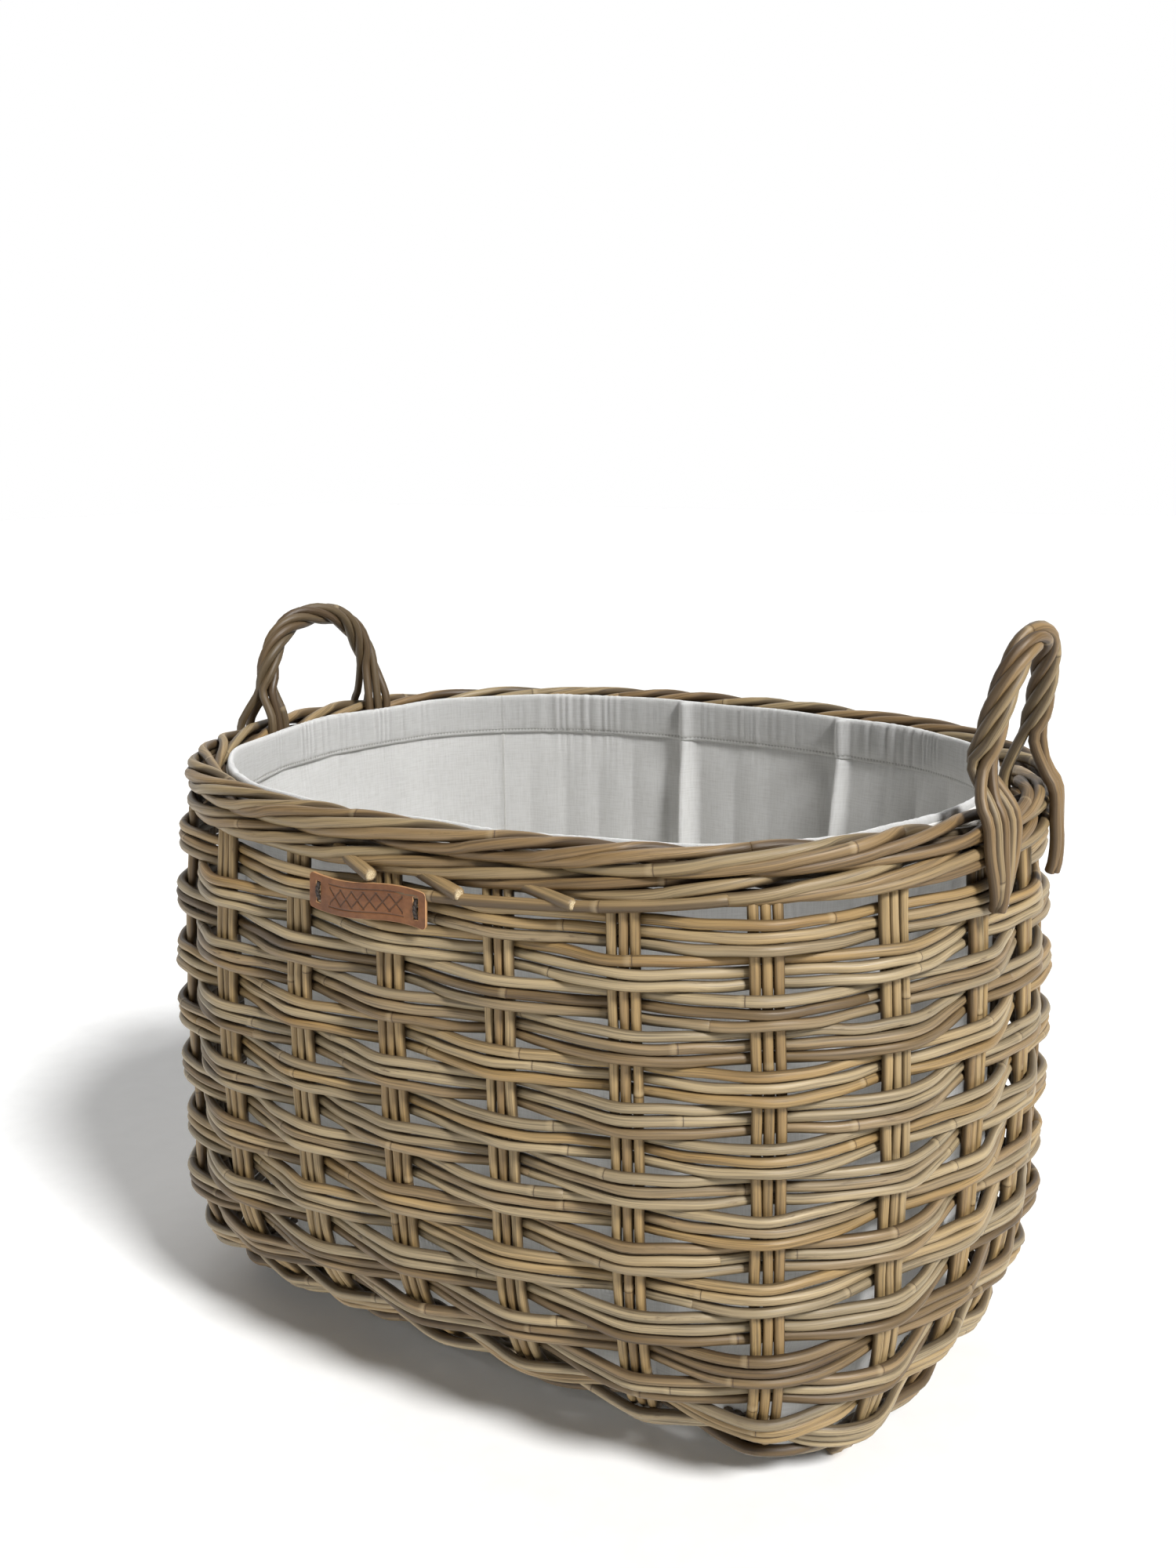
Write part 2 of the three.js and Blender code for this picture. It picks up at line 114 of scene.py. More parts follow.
def half_sizes(row):
    """Half length and half width of the wall line at a row."""
    a = HALF_LENGTH - np.interp(row, ROW_GRID, END_PROFILE[0])
    b = HALF_WIDTH - np.interp(row, ROW_GRID, SIDE_PROFILE[0])
    return a, b


def corner_radius(row):
    return np.interp(row, [0, 10, 14, 16.5], np.array([193, 164, 99, 61]) * MM)


def side_arc(row):
    return np.radians(np.interp(row, [0, 16.5], [12, 9.4]))


def outline(a, b, r, arc, turn):
    """Plan of the basket at an even share of the way round: x, y, the outward normal and the length."""
    quarters = np.mod(turn, 1) * 4
    quarter = np.floor(quarters)
    part = np.where(quarter % 2 == 1, 1 - (quarters - quarter), quarters - quarter)
    sin, rise = np.sin(arc), 1 - np.cos(arc)
    rest_a, rest_b = a - r * (np.cos(arc) - sin), b - r * (np.cos(arc) - sin)
    scale = sin * sin - rise * rise
    r_front = (rest_a * sin - rest_b * rise) / scale
    r_end = (rest_b * sin - rest_a * rise) / scale
    front, corner = r_front * arc, r * (np.pi / 2 - 2 * arc)
    length = front + corner + r_end * arc
    s = part * length
    on_front, on_corner = s < front, s < front + corner
    angle = np.where(on_front, s / r_front, np.where(
        on_corner, arc + (s - front) / r, np.pi / 2 - arc + (s - front - corner) / r_end))
    x = np.where(on_front, r_front * np.sin(angle), np.where(
        on_corner, (r_front - r) * sin + r * np.sin(angle), a - r_end + r_end * np.sin(angle)))
    y = np.where(on_front, r_front * (1 - np.cos(angle)) - b, np.where(
        on_corner, r_front * rise - b + r * (np.cos(arc) - np.cos(angle)), -r_end * np.cos(angle)))
    sx = np.where(quarter < 2, 1, -1)
    sy = np.where((quarter == 0) | (quarter == 3), 1, -1)
    return sx * x, sy * y, sx * np.sin(angle), -sy * np.cos(angle), 4 * length


def wall_point(turn, row):
    turn, row = np.broadcast_arrays(np.asarray(turn, float), np.asarray(row, float))
    a, b = half_sizes(row)
    x, y, nx, ny, _ = outline(a, b, corner_radius(row), side_arc(row), turn)
    drop = (np.interp(row, ROW_GRID, END_PROFILE[1]) * nx ** 2
            + np.interp(row, ROW_GRID, SIDE_PROFILE[1]) * ny ** 2)
    share = np.maximum(0, (row - BASE_START_ROW + 1) / (ROWS - BASE_START_ROW))
    corner = CORNER_DROP * share ** 2 * np.abs(x * y) / (a * b)
    tilt = BACK_RISE * np.maximum(0, y) * np.clip(1 - row / TILT_ENDS_AT_ROW, 0, 1)
    return np.stack([x, y, ROW_0_HEIGHT - drop - corner + tilt], -1)


def unit(v):
    return v / np.maximum(np.linalg.norm(v, axis=-1, keepdims=True), 1e-12)


def wall_frame(turn, row):
    """Point on the wall, with the directions out of it, down it and along it."""
    down = unit(wall_point(turn, row + 0.4) - wall_point(turn, row - 0.4))
    along = unit(wall_point(turn + 0.002, row) - wall_point(turn - 0.002, row))
    return wall_point(turn, row), unit(np.cross(down, along)), down, along


def rim_point(turn, out, up):
    """Point of the rim: distance out from the border's centre line and up from its middle."""
    turn = np.asarray(turn, float)
    x, y, nx, ny, _ = outline(RIM_HALF_LENGTH, RIM_HALF_WIDTH, RIM_CORNER, side_arc(0), turn)
    return np.stack([x + nx * out, y + ny * out, RIM_HEIGHT + RIM_TILT * y + up], -1)


RIM_LENGTH = float(outline(RIM_HALF_LENGTH, RIM_HALF_WIDTH, RIM_CORNER, side_arc(0), np.array(0.0))[4])


def perimeter(row):
    a, b = half_sizes(row)
    return float(outline(a, b, corner_radius(row), side_arc(row), np.array(0.0))[4])


# ---- meshes

def srgb(red, green, blue):
    """Linear colour from the 0 to 255 numbers of a colour picker."""
    shares = [((c / 255 + 0.055) / 1.055) ** 2.4 if c > 10 else c / 3295 for c in (red, green, blue)]
    return (*shares, 1)


def put_in_scene(thing):
    bpy.context.scene.collection.objects.link(thing)


def mesh_object(name, verts, faces, material, smooth=True, **attributes):
    mesh = bpy.data.meshes.new(name)
    mesh.from_pydata([tuple(v) for v in verts], [], faces)
    mesh.validate()
    for key, values in attributes.items():
        layer = mesh.attributes.new(key, "FLOAT_VECTOR", "POINT")
        layer.data.foreach_set("vector", np.asarray(values, np.float32).ravel())
    mesh.polygons.foreach_set("use_smooth", [smooth] * len(mesh.polygons))
    mesh.materials.append(material)
    piece = bpy.data.objects.new(name, mesh)
    put_in_scene(piece)
    return piece


def fit(piece, body, slot, *nodes):
    """Puts a piece on a body, in place of CAD nodes if any are named."""
    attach(piece, body)
    if nodes:
        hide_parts(*nodes)
    return piece


def distances(line):
    """Distance of each point from the first, along the line."""
    return np.concatenate([[0], np.cumsum(np.linalg.norm(np.diff(line, axis=0), axis=1))])


def resample(line, length, places):
    """Points of a line at places given as distances along it."""
    return np.stack([np.interp(places, length, line[:, i]) for i in range(3)], -1)


def waves(rng, x, low, high, count):
    """Seeded smooth wandering of about -1 to 1 that repeats when x grows by 1."""
    total = 0 * x
    for _ in range(count):
        total = total + np.sin(2 * np.pi * (rng.integers(low, high + 1) * x + rng.random()))
    return total / math.sqrt(count)


class Canes:
    """Collects round canes into one mesh, with the attributes that the cane material reads:
    grain is a place in the cane (round it, and along it), and marks holds tone, knuckle and cut end."""

    def __init__(self):
        self.verts, self.faces, self.grain, self.marks, self.count = [], [], [], [], 0

    def add(self, line, radius, side, rng, knuckles=0.3, tone=None, blunt=1.0, sides=SIDES, step=STEP):
        """One cane along a fine line of points. side is any direction across it at each point."""
        length = distances(line)
        side = np.broadcast_to(side, line.shape)
        rings = set(np.linspace(0, length[-1], max(3, int(length[-1] / step))).tolist())
        places = []
        at = rng.uniform(0.05, 1) * knuckles
        while knuckles and at < length[-1] - 15 * MM:
            places.append(at)
            near = [at + away * MM for away in KNUCKLE_RINGS]
            rings |= {ring for ring in near if 0 < ring < length[-1]}
            at += rng.uniform(0.7, 1.4) * knuckles
        rings = np.array(sorted(rings))
        centre = resample(line, length, rings)
        side = resample(side, length, rings)
        if np.ndim(radius):
            radius = np.interp(rings, length, radius)
        along = unit(np.gradient(centre, rings, axis=0))
        across = unit(side - (side * along).sum(-1, keepdims=True) * along)
        other = np.cross(along, across)
        size = radius * (1 + 0.03 * np.sin(rings / (41 * MM) + rng.random() * 6))
        knuckle = 0.5 + 0 * rings
        for place in places:
            away = (rings - place) / MM
            swelling = 0.05 * np.exp(-((away + 1.2) / 1.5) ** 2)
            step_in_size = 0.03 * np.tanh(away / 3) * np.exp(-(away / 30) ** 2)
            size = size * (1 + swelling + step_in_size)
            knuckle = knuckle + 0.5 * np.exp(-(away / 0.5) ** 2) - 0.4 * np.exp(-((away + 2.2) / 1.6) ** 2)
        start = rng.uniform(0, 50)
        tone = rng.random() if tone is None else tone
        # Rounded edges and a flat cut face at both ends.
        bevel = 0.9 * MM * blunt
        self._rings(
            np.concatenate([[centre[0]] * 2, centre, [centre[-1]] * 2]),
            np.concatenate([[along[0]] * 2, along, [along[-1]] * 2]),
            np.concatenate([[across[0]] * 2, across, [across[-1]] * 2]),
            np.concatenate([[other[0]] * 2, other, [other[-1]] * 2]),
            np.concatenate([[size[0] * 0.5, size[0] * 0.86], size, [size[-1] * 0.86, size[-1] * 0.5]]),
            np.concatenate([[0, 0], rings, [rings[-1]] * 2]) + start,
            np.concatenate([[-bevel, -bevel * 0.9], 0 * rings, [bevel * 0.9, bevel]]),
            tone, np.concatenate([[0.5] * 2, knuckle, [0.5] * 2]), sides)

    def _rings(self, centre, along, across, other, size, place, shift, tone, knuckle, sides):
        angles = np.arange(sides) * 2 * np.pi / sides
        cos, sin = np.cos(angles), np.sin(angles)
        n = len(centre)
        spokes = across[:, None] * cos[None, :, None] + other[:, None] * sin[None, :, None]
        points = centre[:, None] + along[:, None] * shift[:, None, None] + size[:, None, None] * spokes
        grain = np.stack([size[:, None] * cos[None], size[:, None] * sin[None],
                          place[:, None] + 0 * cos[None]], -1)
        end = np.zeros(n)
        end[[0, -1]] = 1
        marks = np.stack([np.full((n, sides), tone), np.repeat(knuckle[:, None], sides, 1),
                          np.repeat(end[:, None], sides, 1)], -1)
        base = self.count
        index = base + np.arange(n * sides).reshape(n, sides)
        nxt = np.roll(index, -1, axis=1)
        quads = np.stack([index[:-1], nxt[:-1], nxt[1:], index[1:]], -1).reshape(-1, 4)
        self.faces += quads.tolist()
        first, last = base + n * sides, base + n * sides + 1
        self.faces += [[first, b, a] for a, b in zip(index[0].tolist(), nxt[0].tolist())]
        self.faces += [[last, a, b] for a, b in zip(index[-1].tolist(), nxt[-1].tolist())]
        tips = centre[[0, -1]] + along[[0, -1]] * shift[[0, -1], None]
        self.verts.append(np.concatenate([points.reshape(-1, 3), tips]))
        self.grain.append(np.concatenate([grain.reshape(-1, 3), [[0, 0, place[0]], [0, 0, place[-1]]]]))
        self.marks.append(np.concatenate([marks.reshape(-1, 3), [[tone, 0.5, 1], [tone, 0.5, 1]]]))
        self.count = last + 1

    def make(self, name, material, slot, *nodes):
        piece = mesh_object(name, np.concatenate(self.verts), self.faces, material,
                            grain=np.concatenate(self.grain), marks=np.concatenate(self.marks))
        return fit(piece, "basket", slot, *nodes)


def shell(name, grid, thickness, material, cloth):
    """Closed ring of thin cloth: the grid is its outer face, and the inner one is moved in by thickness."""
    wrapped = np.concatenate([grid[-1:], grid, grid[:1]])
    du = np.gradient(wrapped, axis=0)[1:-1]
    normal = unit(np.cross(du, np.gradient(grid, axis=1)))
    nu, nv = grid.shape[:2]
    verts = np.concatenate([grid.reshape(-1, 3), (grid - normal * thickness).reshape(-1, 3)])
    index = np.arange(nu * nv).reshape(nu, nv)
    nxt = np.roll(index, -1, axis=0)
    outer = np.stack([index[:, :-1], nxt[:, :-1], nxt[:, 1:], index[:, 1:]], -1).reshape(-1, 4)
    inner = outer[:, ::-1] + nu * nv
    rims = []
    for k, flip in ((0, 1), (-1, -1)):
        near, far = index[:, k], nxt[:, k]
        rims.append(np.stack([near, near + nu * nv, far + nu * nv, far], -1)[:, ::flip])
    faces = np.concatenate([outer, inner, *rims])
    coordinates = np.concatenate([cloth.reshape(-1, 3)] * 2)
    return mesh_object(name, verts, faces.tolist(), material, cloth=coordinates)


# ---- materials

class Nodes:
    """The node tree of a material or world, with short ways to add and join nodes."""

    def __init__(self, owner, shader="Principled BSDF"):
        owner.use_nodes = True
        self.owner = owner
        self.tree = owner.node_tree
        self.shader = self.tree.nodes[shader]

    def add(self, kind, **values):
        node = self.tree.nodes.new(kind)
        for key, value in values.items():
            setattr(node, key, value)
        return node

    def put(self, source, socket):
        """Joins a socket to another, or sets its value."""
        if isinstance(source, bpy.types.NodeSocket):
            self.tree.links.new(source, socket)
        else:
            socket.default_value = source

    def attribute(self, name):
        return self.add("ShaderNodeAttribute", attribute_name=name).outputs["Vector"]

    def split(self, vector):
        node = self.add("ShaderNodeSeparateXYZ")
        self.put(vector, node.inputs[0])
        return node.outputs

    def scaled(self, vector, scale):
        node = self.add("ShaderNodeVectorMath", operation="MULTIPLY")
        self.put(vector, node.inputs[0])
        self.put(scale, node.inputs[1])
        return node.outputs[0]

    def noise(self, vector, scale, detail=3, roughness=0.55):
        node = self.add("ShaderNodeTexNoise")
        self.put(self.scaled(vector, scale), node.inputs["Vector"])
        self.put(1, node.inputs["Scale"])
        self.put(detail, node.inputs["Detail"])
        self.put(roughness, node.inputs["Roughness"])
        return node.outputs["Fac"]

    def math(self, operation, a, b=0.0, clamp=False):
        node = self.add("ShaderNodeMath", operation=operation, use_clamp=clamp)
        self.put(a, node.inputs[0])
        self.put(b, node.inputs[1])
        return node.outputs[0]

    def times(self, a, b, clamp=False):
        return self.math("MULTIPLY", a, b, clamp)

    def plus(self, a, b):
        return self.math("ADD", a, b)

    def minus(self, a, b):
        return self.math("SUBTRACT", a, b)

    def wave(self, value, length):
        return self.math("SINE", self.times(value, 2 * math.pi / length))

    def ramp(self, value, stops):
        node = self.add("ShaderNodeValToRGB")
        elements = node.color_ramp.elements
        while len(elements) < len(stops):
            elements.new(0.5)
        for element, (place, colour) in zip(elements, stops):
            element.position = place
            element.color = colour if hasattr(colour, "__len__") else (colour,) * 3 + (1,)
        self.put(value, node.inputs[0])
        return node.outputs[0]

    def mix(self, share, a, b, blend="MIX"):
        node = self.add("ShaderNodeMix", data_type="RGBA", blend_type=blend)
        self.put(share, node.inputs["Factor"])
        self.put(a, node.inputs["A"])
        self.put(b, node.inputs["B"])
        return [o for o in node.outputs if o.type == "RGBA"][0]

    def bump(self, height, strength, distance):
        node = self.add("ShaderNodeBump")
        self.put(strength, node.inputs["Strength"])
        self.put(distance, node.inputs["Distance"])
        self.put(height, node.inputs["Height"])
        self.put(node.outputs[0], self.shader.inputs["Normal"])

    def finish(self, colour, roughness):
        self.put(colour, self.shader.inputs["Base Color"])
        self.put(roughness, self.shader.inputs["Roughness"])
        return self.owner


def cane_material(name, palette, stain=0.5):
    """Weathered cane: lengthwise fibres, drifting tone, dark stains, dust and painted shade where canes
    touch, ringed knuckles, pithy cut ends.
    """
    n = Nodes(bpy.data.materials.new(name))
    grain = n.attribute("grain")
    tone, knuckle, end = n.split(n.attribute("marks"))
    fibres = n.noise(grain, (1700, 1700, 22), detail=3, roughness=0.6)
    coarse = n.noise(grain, (520, 520, 8), detail=3)
    drift = n.noise(grain, (50, 50, 6), detail=2)
    blots = n.noise(grain, (330, 330, 60), detail=4, roughness=0.65)
    value = n.plus(n.times(tone, 0.7), n.times(drift, 0.5))
    value = n.minus(value, 0.1)
    step = 1 / (len(palette) - 1)
    colour = n.ramp(value, [(i * step, c) for i, c in enumerate(palette)])
    shade = n.ramp(fibres, [(0.3, 0.34), (0.45, 0.86), (0.58, 1.02), (0.74, 1.25)])
    colour = n.mix(0.8, colour, shade, "MULTIPLY")
    shade = n.ramp(coarse, [(0.32, 0.45), (0.47, 0.95), (0.7, 1.2)])
    colour = n.mix(0.7, colour, shade, "MULTIPLY")
    marked = n.ramp(blots, [(0.58, 0.0), (0.7, 1.0)])
    patches = n.ramp(n.noise(grain, (25, 25, 5), detail=1), [(0.48, 0.0), (0.64, 1.0)])
    marked = n.times(n.times(marked, patches), stain)
    colour = n.mix(marked, colour, srgb(72, 52, 34))
    # Dust and painted shade where neighbouring canes touch: the colour darkens on each cane away from the
    # side that faces out.
    facing, _, _ = n.split(grain)
    dust_and_crevice_shade = n.ramp(n.times(facing, 1 / (3.5 * MM)), [(0.0, 1.0), (0.28, 0.75), (0.66, 0.0)])
    dust_and_crevice_shade = n.times(dust_and_crevice_shade, n.plus(n.times(coarse, 0.9), 0.35), clamp=True)
    colour = n.mix(n.times(dust_and_crevice_shade, 0.85), colour, srgb(46, 32, 20))
    ring = n.ramp(knuckle, [(0.6, 0.0), (0.85, 1.0)])
    pale = n.ramp(knuckle, [(0.1, 1.0), (0.45, 0.0)])
    colour = n.mix(n.times(pale, 0.35), colour, srgb(190, 170, 134))
    colour = n.mix(n.times(ring, 0.8), colour, srgb(66, 48, 32))
    pores = n.noise(grain, (2600, 2600, 40), detail=1)
    pith = n.ramp(pores, [(0.38, srgb(150, 122, 84)), (0.5, srgb(208, 190, 152)),
                          (0.7, srgb(222, 208, 176))])
    colour = n.mix(end, colour, pith)
    rough = n.ramp(coarse, [(0.3, 0.62), (0.7, 0.4)])
    height = n.plus(n.times(fibres, 0.6), n.times(coarse, 0.8))
    height = n.minus(height, n.times(marked, 0.5))
    n.bump(height, 0.55, 0.5 * MM)
    return n.finish(colour, rough)


GREYED = [srgb(*c) for c in ((74, 55, 32), (113, 92, 61), (142, 119, 85), (147, 131, 102),
                               (167, 148, 114), (155, 128, 84), (130, 99, 57))]
GOLDEN = [srgb(*c) for c in ((105, 79, 46), (140, 114, 75), (160, 133, 88), (164, 141, 102),
                               (152, 121, 73))]
BROWNER = [srgb(*c) for c in ((91, 68, 39), (127, 102, 67), (147, 122, 84), (144, 126, 93),
                                (153, 122, 73))]


def cotton_material():
    """Plain-woven cotton: fine crossing threads, slight slubs and soft creases."""
    n = Nodes(bpy.data.materials.new("liner_cotton"))
    cloth = n.attribute("cloth")
    u, v, seam = n.split(cloth)
    warp = n.wave(u, 0.62 * MM)
    weft = n.wave(v, 0.68 * MM)
    weave = n.times(warp, weft)
    slubs = n.noise(cloth, (900, 60, 1), detail=2)
    slubs_across = n.noise(cloth, (60, 900, 1), detail=2)
    creases = n.noise(cloth, (26, 15, 1), detail=4, roughness=0.6)
    colour = n.ramp(n.plus(n.times(slubs, 0.5), n.times(slubs_across, 0.5)),
                    [(0.3, srgb(206, 204, 199)), (0.5, srgb(219, 218, 214)), (0.7, srgb(227, 226, 223))])
    stitch = n.wave(u, 3.2 * MM)
    stitch = n.times(n.times(n.plus(stitch, 1.0), 0.4), seam, clamp=True)
    colour = n.mix(stitch, colour, srgb(150, 147, 140))
    # Painted shade along the seams: the cloth is mixed a little towards grey where the seam is.
    colour = n.mix(n.ramp(seam, [(0.2, 0.0), (1.0, 0.2)]), colour, srgb(176, 173, 166))
    height = n.plus(n.times(weave, 0.06), n.times(creases, 1.6))
    height = n.minus(height, n.times(seam, 0.5))
    height = n.plus(height, n.times(slubs, 0.12))
    n.bump(height, 0.5, 2 * MM)
    n.put(0.8, n.shader.inputs["Subsurface Weight"])
    n.put((1.0, 1.0, 1.0), n.shader.inputs["Subsurface Radius"])
    n.put(9 * MM, n.shader.inputs["Subsurface Scale"])
    return n.finish(colour, n.ramp(slubs, [(0.3, 0.8), (0.7, 0.92)]))


def elastic_material():
    """Ribbed elastic: lengthwise rubber ribs under a knitted cover."""
    n = Nodes(bpy.data.materials.new("liner_elastic"))
    u, v, _ = n.split(n.attribute("cloth"))
    ribs = n.wave(v, 1.8 * MM)
    knit = n.wave(u, 1.1 * MM)
    height = n.plus(ribs, n.times(knit, 0.4))
    n.bump(height, 0.4, 0.4 * MM)
    # Painted shade and light: darker in the grooves between the ribs and lighter on their crowns, following
    # the same wave as the bump.
    colour = n.ramp(ribs, [(0.0, srgb(214, 211, 204)), (1.0, srgb(240, 238, 233))])
    return n.finish(colour, n.ramp(knit, [(0.0, 0.7), (1.0, 0.85)]))


def leather_material():
    """Saddle-brown leather: fine pores and creases, darker drifts, pale raw edges."""
    n = Nodes(bpy.data.materials.new("label_leather"))
    place = n.attribute("cloth")
    _, _, edge = n.split(place)
    pores = n.add("ShaderNodeTexVoronoi")
    n.put(n.scaled(place, (900, 900, 0)), pores.inputs["Vector"])
    n.put(1, pores.inputs["Scale"])
    creases = n.noise(place, (260, 420, 0), detail=5, roughness=0.62)
    drift = n.noise(place, (40, 60, 0), detail=3)
    colour = n.ramp(drift, [(0.3, srgb(94, 54, 24)), (0.5, srgb(112, 67, 31)), (0.7, srgb(127, 80, 40))])
    colour = n.mix(0.6, colour, n.ramp(creases, [(0.3, 0.7), (0.6, 1.05)]), "MULTIPLY")
    colour = n.mix(n.ramp(edge, [(0.7, 0.0), (0.95, 0.8)]), colour, srgb(196, 150, 104))
    colour = n.mix(n.ramp(edge, [(0.1, 0.75), (0.45, 0.0)]), colour, srgb(62, 40, 20))
    height = n.plus(n.times(pores.outputs["Distance"], 0.5), creases)
    n.bump(height, 0.4, 0.3 * MM)
    return n.finish(colour, n.ramp(creases, [(0.3, 0.62), (0.7, 0.45)]))


def tie_material():
    """Dark waxed thread, twisted."""
    n = Nodes(bpy.data.materials.new("label_tie"))
    grain = n.attribute("grain")
    fibres = n.noise(grain, (2500, 2500, 300), detail=3)
    n.bump(fibres, 0.6, 0.3 * MM)
    return n.finish(n.ramp(fibres, [(0.3, srgb(20, 16, 13)), (0.7, srgb(60, 46, 36))]),
                    n.ramp(fibres, [(0.3, 0.5), (0.7, 0.75)]))


WEAVER_CANE = cane_material("weaver_cane", GREYED, 0.8)
STAKE_CANE = cane_material("stake_cane", GOLDEN, 0.5)
BORDER_CANE = cane_material("border_cane", BROWNER, 0.7)
HANDLE_CANE = cane_material("handle_cane", BROWNER, 0.4)
BASE_CANE = cane_material("base_cane", GREYED, 0.8)
COTTON = cotton_material()
ELASTIC = elastic_material()
LEATHER = leather_material()
THREAD = tie_material()


# ---- weaver rows and stakes

def two(number):
    return f"{number:02d}"


def cut_ring(rng, joints):
    """Stretches of turn between a ring's butt joints, as start and end."""
    places = (rng.random() + (np.arange(joints) + rng.uniform(-0.2, 0.2, joints)) / joints)
    return list(zip(places, np.append(places[1:], places[0] + 1)))


def weaver_row(row):
    """Three canes side by side, over one stake and under the next."""
    rng = np.random.default_rng(100 + row)
    canes = Canes()
    around = perimeter(row)
    row_tone = rng.uniform(0.2, 0.8)
    for place in (-1, 0, 1):
        seed_out, seed_down = rng.integers(1 << 30, size=2)
        radius = rng.uniform(3.35, 3.62) * MM
        for start, stop in cut_ring(rng, int(rng.integers(1, 3))):
            turn = np.linspace(start, stop - 0.8 * MM / around, int((stop - start) * around / (2 * MM)))
            swing = np.cos(np.pi * ((turn - FIRST_STAKE) * STAKES + row))
            wave = np.arcsin(0.95 * swing) / math.asin(0.95)
            wander_out = waves(np.random.default_rng(seed_out), turn, 9, 40, 4)
            wander_down = waves(np.random.default_rng(seed_down), turn, 9, 45, 5)
            point, out, down, _ = wall_frame(turn, row)
            spread = SPACING * (1 + 0.035 * (1 - wave ** 2)) * place
            line = (point + out * (SWING * wave + 0.5 * MM * wander_out)[:, None]
                    + down * (spread + 0.45 * MM * wander_down)[:, None])
            tone = float(np.clip(row_tone + rng.uniform(-0.45, 0.45), 0, 1))
            canes.add(line, radius, out, rng, tone=tone)
    node = f"weaver_row_{two(row + 1)}"
    return canes.make(f"{node}_canes", WEAVER_CANE, "weaver_cane", node)


def stake_group(stake):
    """Three upright canes, from inside the border to under the base."""
    rng = np.random.default_rng(300 + stake)
    canes = Canes()
    turn = FIRST_STAKE + stake / STAKES
    rows = np.linspace(-0.85, 17.5, 230)
    for place in (-1, 0, 1):
        point, out, _, along = wall_frame(turn, rows)
        shares = rows / ROWS
        wander = waves(rng, shares * 0.9, 1, 6, 4)
        line = (point + along * (SPACING * place * (1 - 0.1 * np.clip(rows / 16 - 0.6, 0, 1))
                                 + 0.35 * MM * wander)[:, None]
                + out * (0.3 * MM * waves(rng, shares * 0.9, 2, 9, 3))[:, None])
        line[:, 2] = np.maximum(line[:, 2], 3.7 * MM)
        radius = rng.uniform(3.15, 3.4) * MM
        canes.add(line, radius, out, rng, knuckles=0.26, step=8 * MM)
    node = f"stake_{two(stake + 1)}"
    return canes.make(f"{node}_canes", STAKE_CANE, "stake_cane", node)


for number in range(ROWS):
    weaver_row(number)
for number in range(STAKES):
    stake_group(number)


# ---- border

def border_course(name, middle, half_width, half_height, strands, laps, seed, nodes):
    """Long canes laid round the rim: each comes out below, climbs to the right and dives in on top."""
    rng = np.random.default_rng(seed)
    canes = Canes()
    for strand in range(strands):
        shift = (strand + rng.uniform(-0.1, 0.1)) / strands
        seeds = rng.integers(1 << 30, size=2)
        radius = rng.uniform(3.5, 3.95) * MM
        for start, stop in cut_ring(rng, int(rng.integers(2, 4))):
            count = int((stop - start) * RIM_LENGTH / (2 * MM))
            turn = np.linspace(start, stop - 1.0 * MM / RIM_LENGTH, count)
            roll = 2 * np.pi * (laps * turn + shift)
            roll = roll + 0.3 * waves(np.random.default_rng(seeds[0]), turn, 2, 9, 3)
            angle = roll - 0.34 * np.sin(roll + 0.5)
            wide = 1 + 0.1 * waves(np.random.default_rng(seeds[1]), turn, 5, 20, 3)
            out = half_width * signed_power(np.cos(angle), 0.8) * wide
            up = half_height * signed_power(np.sin(angle), 0.8) * wide
            line = rim_point(turn, out, middle + up)
            canes.add(line, radius, line - rim_point(turn, 0, middle), rng, knuckles=0.3, sides=10)
    return canes.make(name, BORDER_CANE, "border_cane", *nodes)


def signed_power(value, power):
    return np.sign(value) * np.abs(value) ** power


border_course("border_lower_canes", -9.0 * MM, 10.0 * MM, 6.0 * MM, 5, 6, 41, ["border_lower_course"])
border_course("border_upper_canes", 7.6 * MM, 9.6 * MM, 6.2 * MM, 5, 7, 42, ["border_upper_course"])


def border_tails():
    """Cut ends of border canes that stick out under the rim, and one long cane laid below it."""
    rng = np.random.default_rng(47)
    canes = Canes()
    for turn, low, reach, radius in ((0.0, -16, 42, 4.7), (0.037, -19, 46, 4.4), (0.0785, -17, 52, 4.0),
                                     (0.46, -18, 44, 4.5), (0.535, -16, 50, 4.2)):
        share = np.linspace(0, 1, 30)
        turns = turn - (1 - share) * reach * MM / RIM_LENGTH
        line = rim_point(turns, (3 + 16 * share) * MM, ((low + 8) * (1 - share) + low * share) * MM)
        canes.add(line, radius * MM, UP, rng, knuckles=0, tone=0.55, blunt=1.6,
                  sides=12, step=4 * MM)
    share = np.linspace(0, 1, 120)
    rise = -25 + 12 * share ** 1.5
    line = rim_point(-0.004 + 0.13 * share, (16.5 - 5 * share ** 3) * MM, rise * MM)
    canes.add(line, 3.7 * MM, UP, rng, knuckles=0.12, tone=0.5, sides=12)
    return canes.make("border_tail_canes", BORDER_CANE, "border_cane")


border_tails()


# ---- handles

def smooth_line(points, step):
    """Curve through the points, resampled at even steps."""
    points = np.asarray(points, float)
    ahead = np.concatenate([points[:1] * 2 - points[1:2], points, points[-1:] * 2 - points[-2:-1]])
    out = []
    for i in range(1, len(ahead) - 2):
        p0, p1, p2, p3 = ahead[i - 1:i + 3]
        t = np.linspace(0, 1, 12, endpoint=False)[:, None]
        out.append(0.5 * (2 * p1 + (p2 - p0) * t + (2 * p0 - 5 * p1 + 4 * p2 - p3) * t ** 2
                          + (3 * p1 - p0 - 3 * p2 + p3) * t ** 3))
    line = np.concatenate(out + [points[-1:]])
    length = distances(line)
    places = np.linspace(0, length[-1], max(8, int(length[-1] / step)))
    return resample(line, length, places)


ROPE_STRANDS = 5
STRAND = 3.5 * MM
ROPE = 5.7 * MM              # centre of the rope to the centre of a strand
FOOT_INSET = 7 * MM


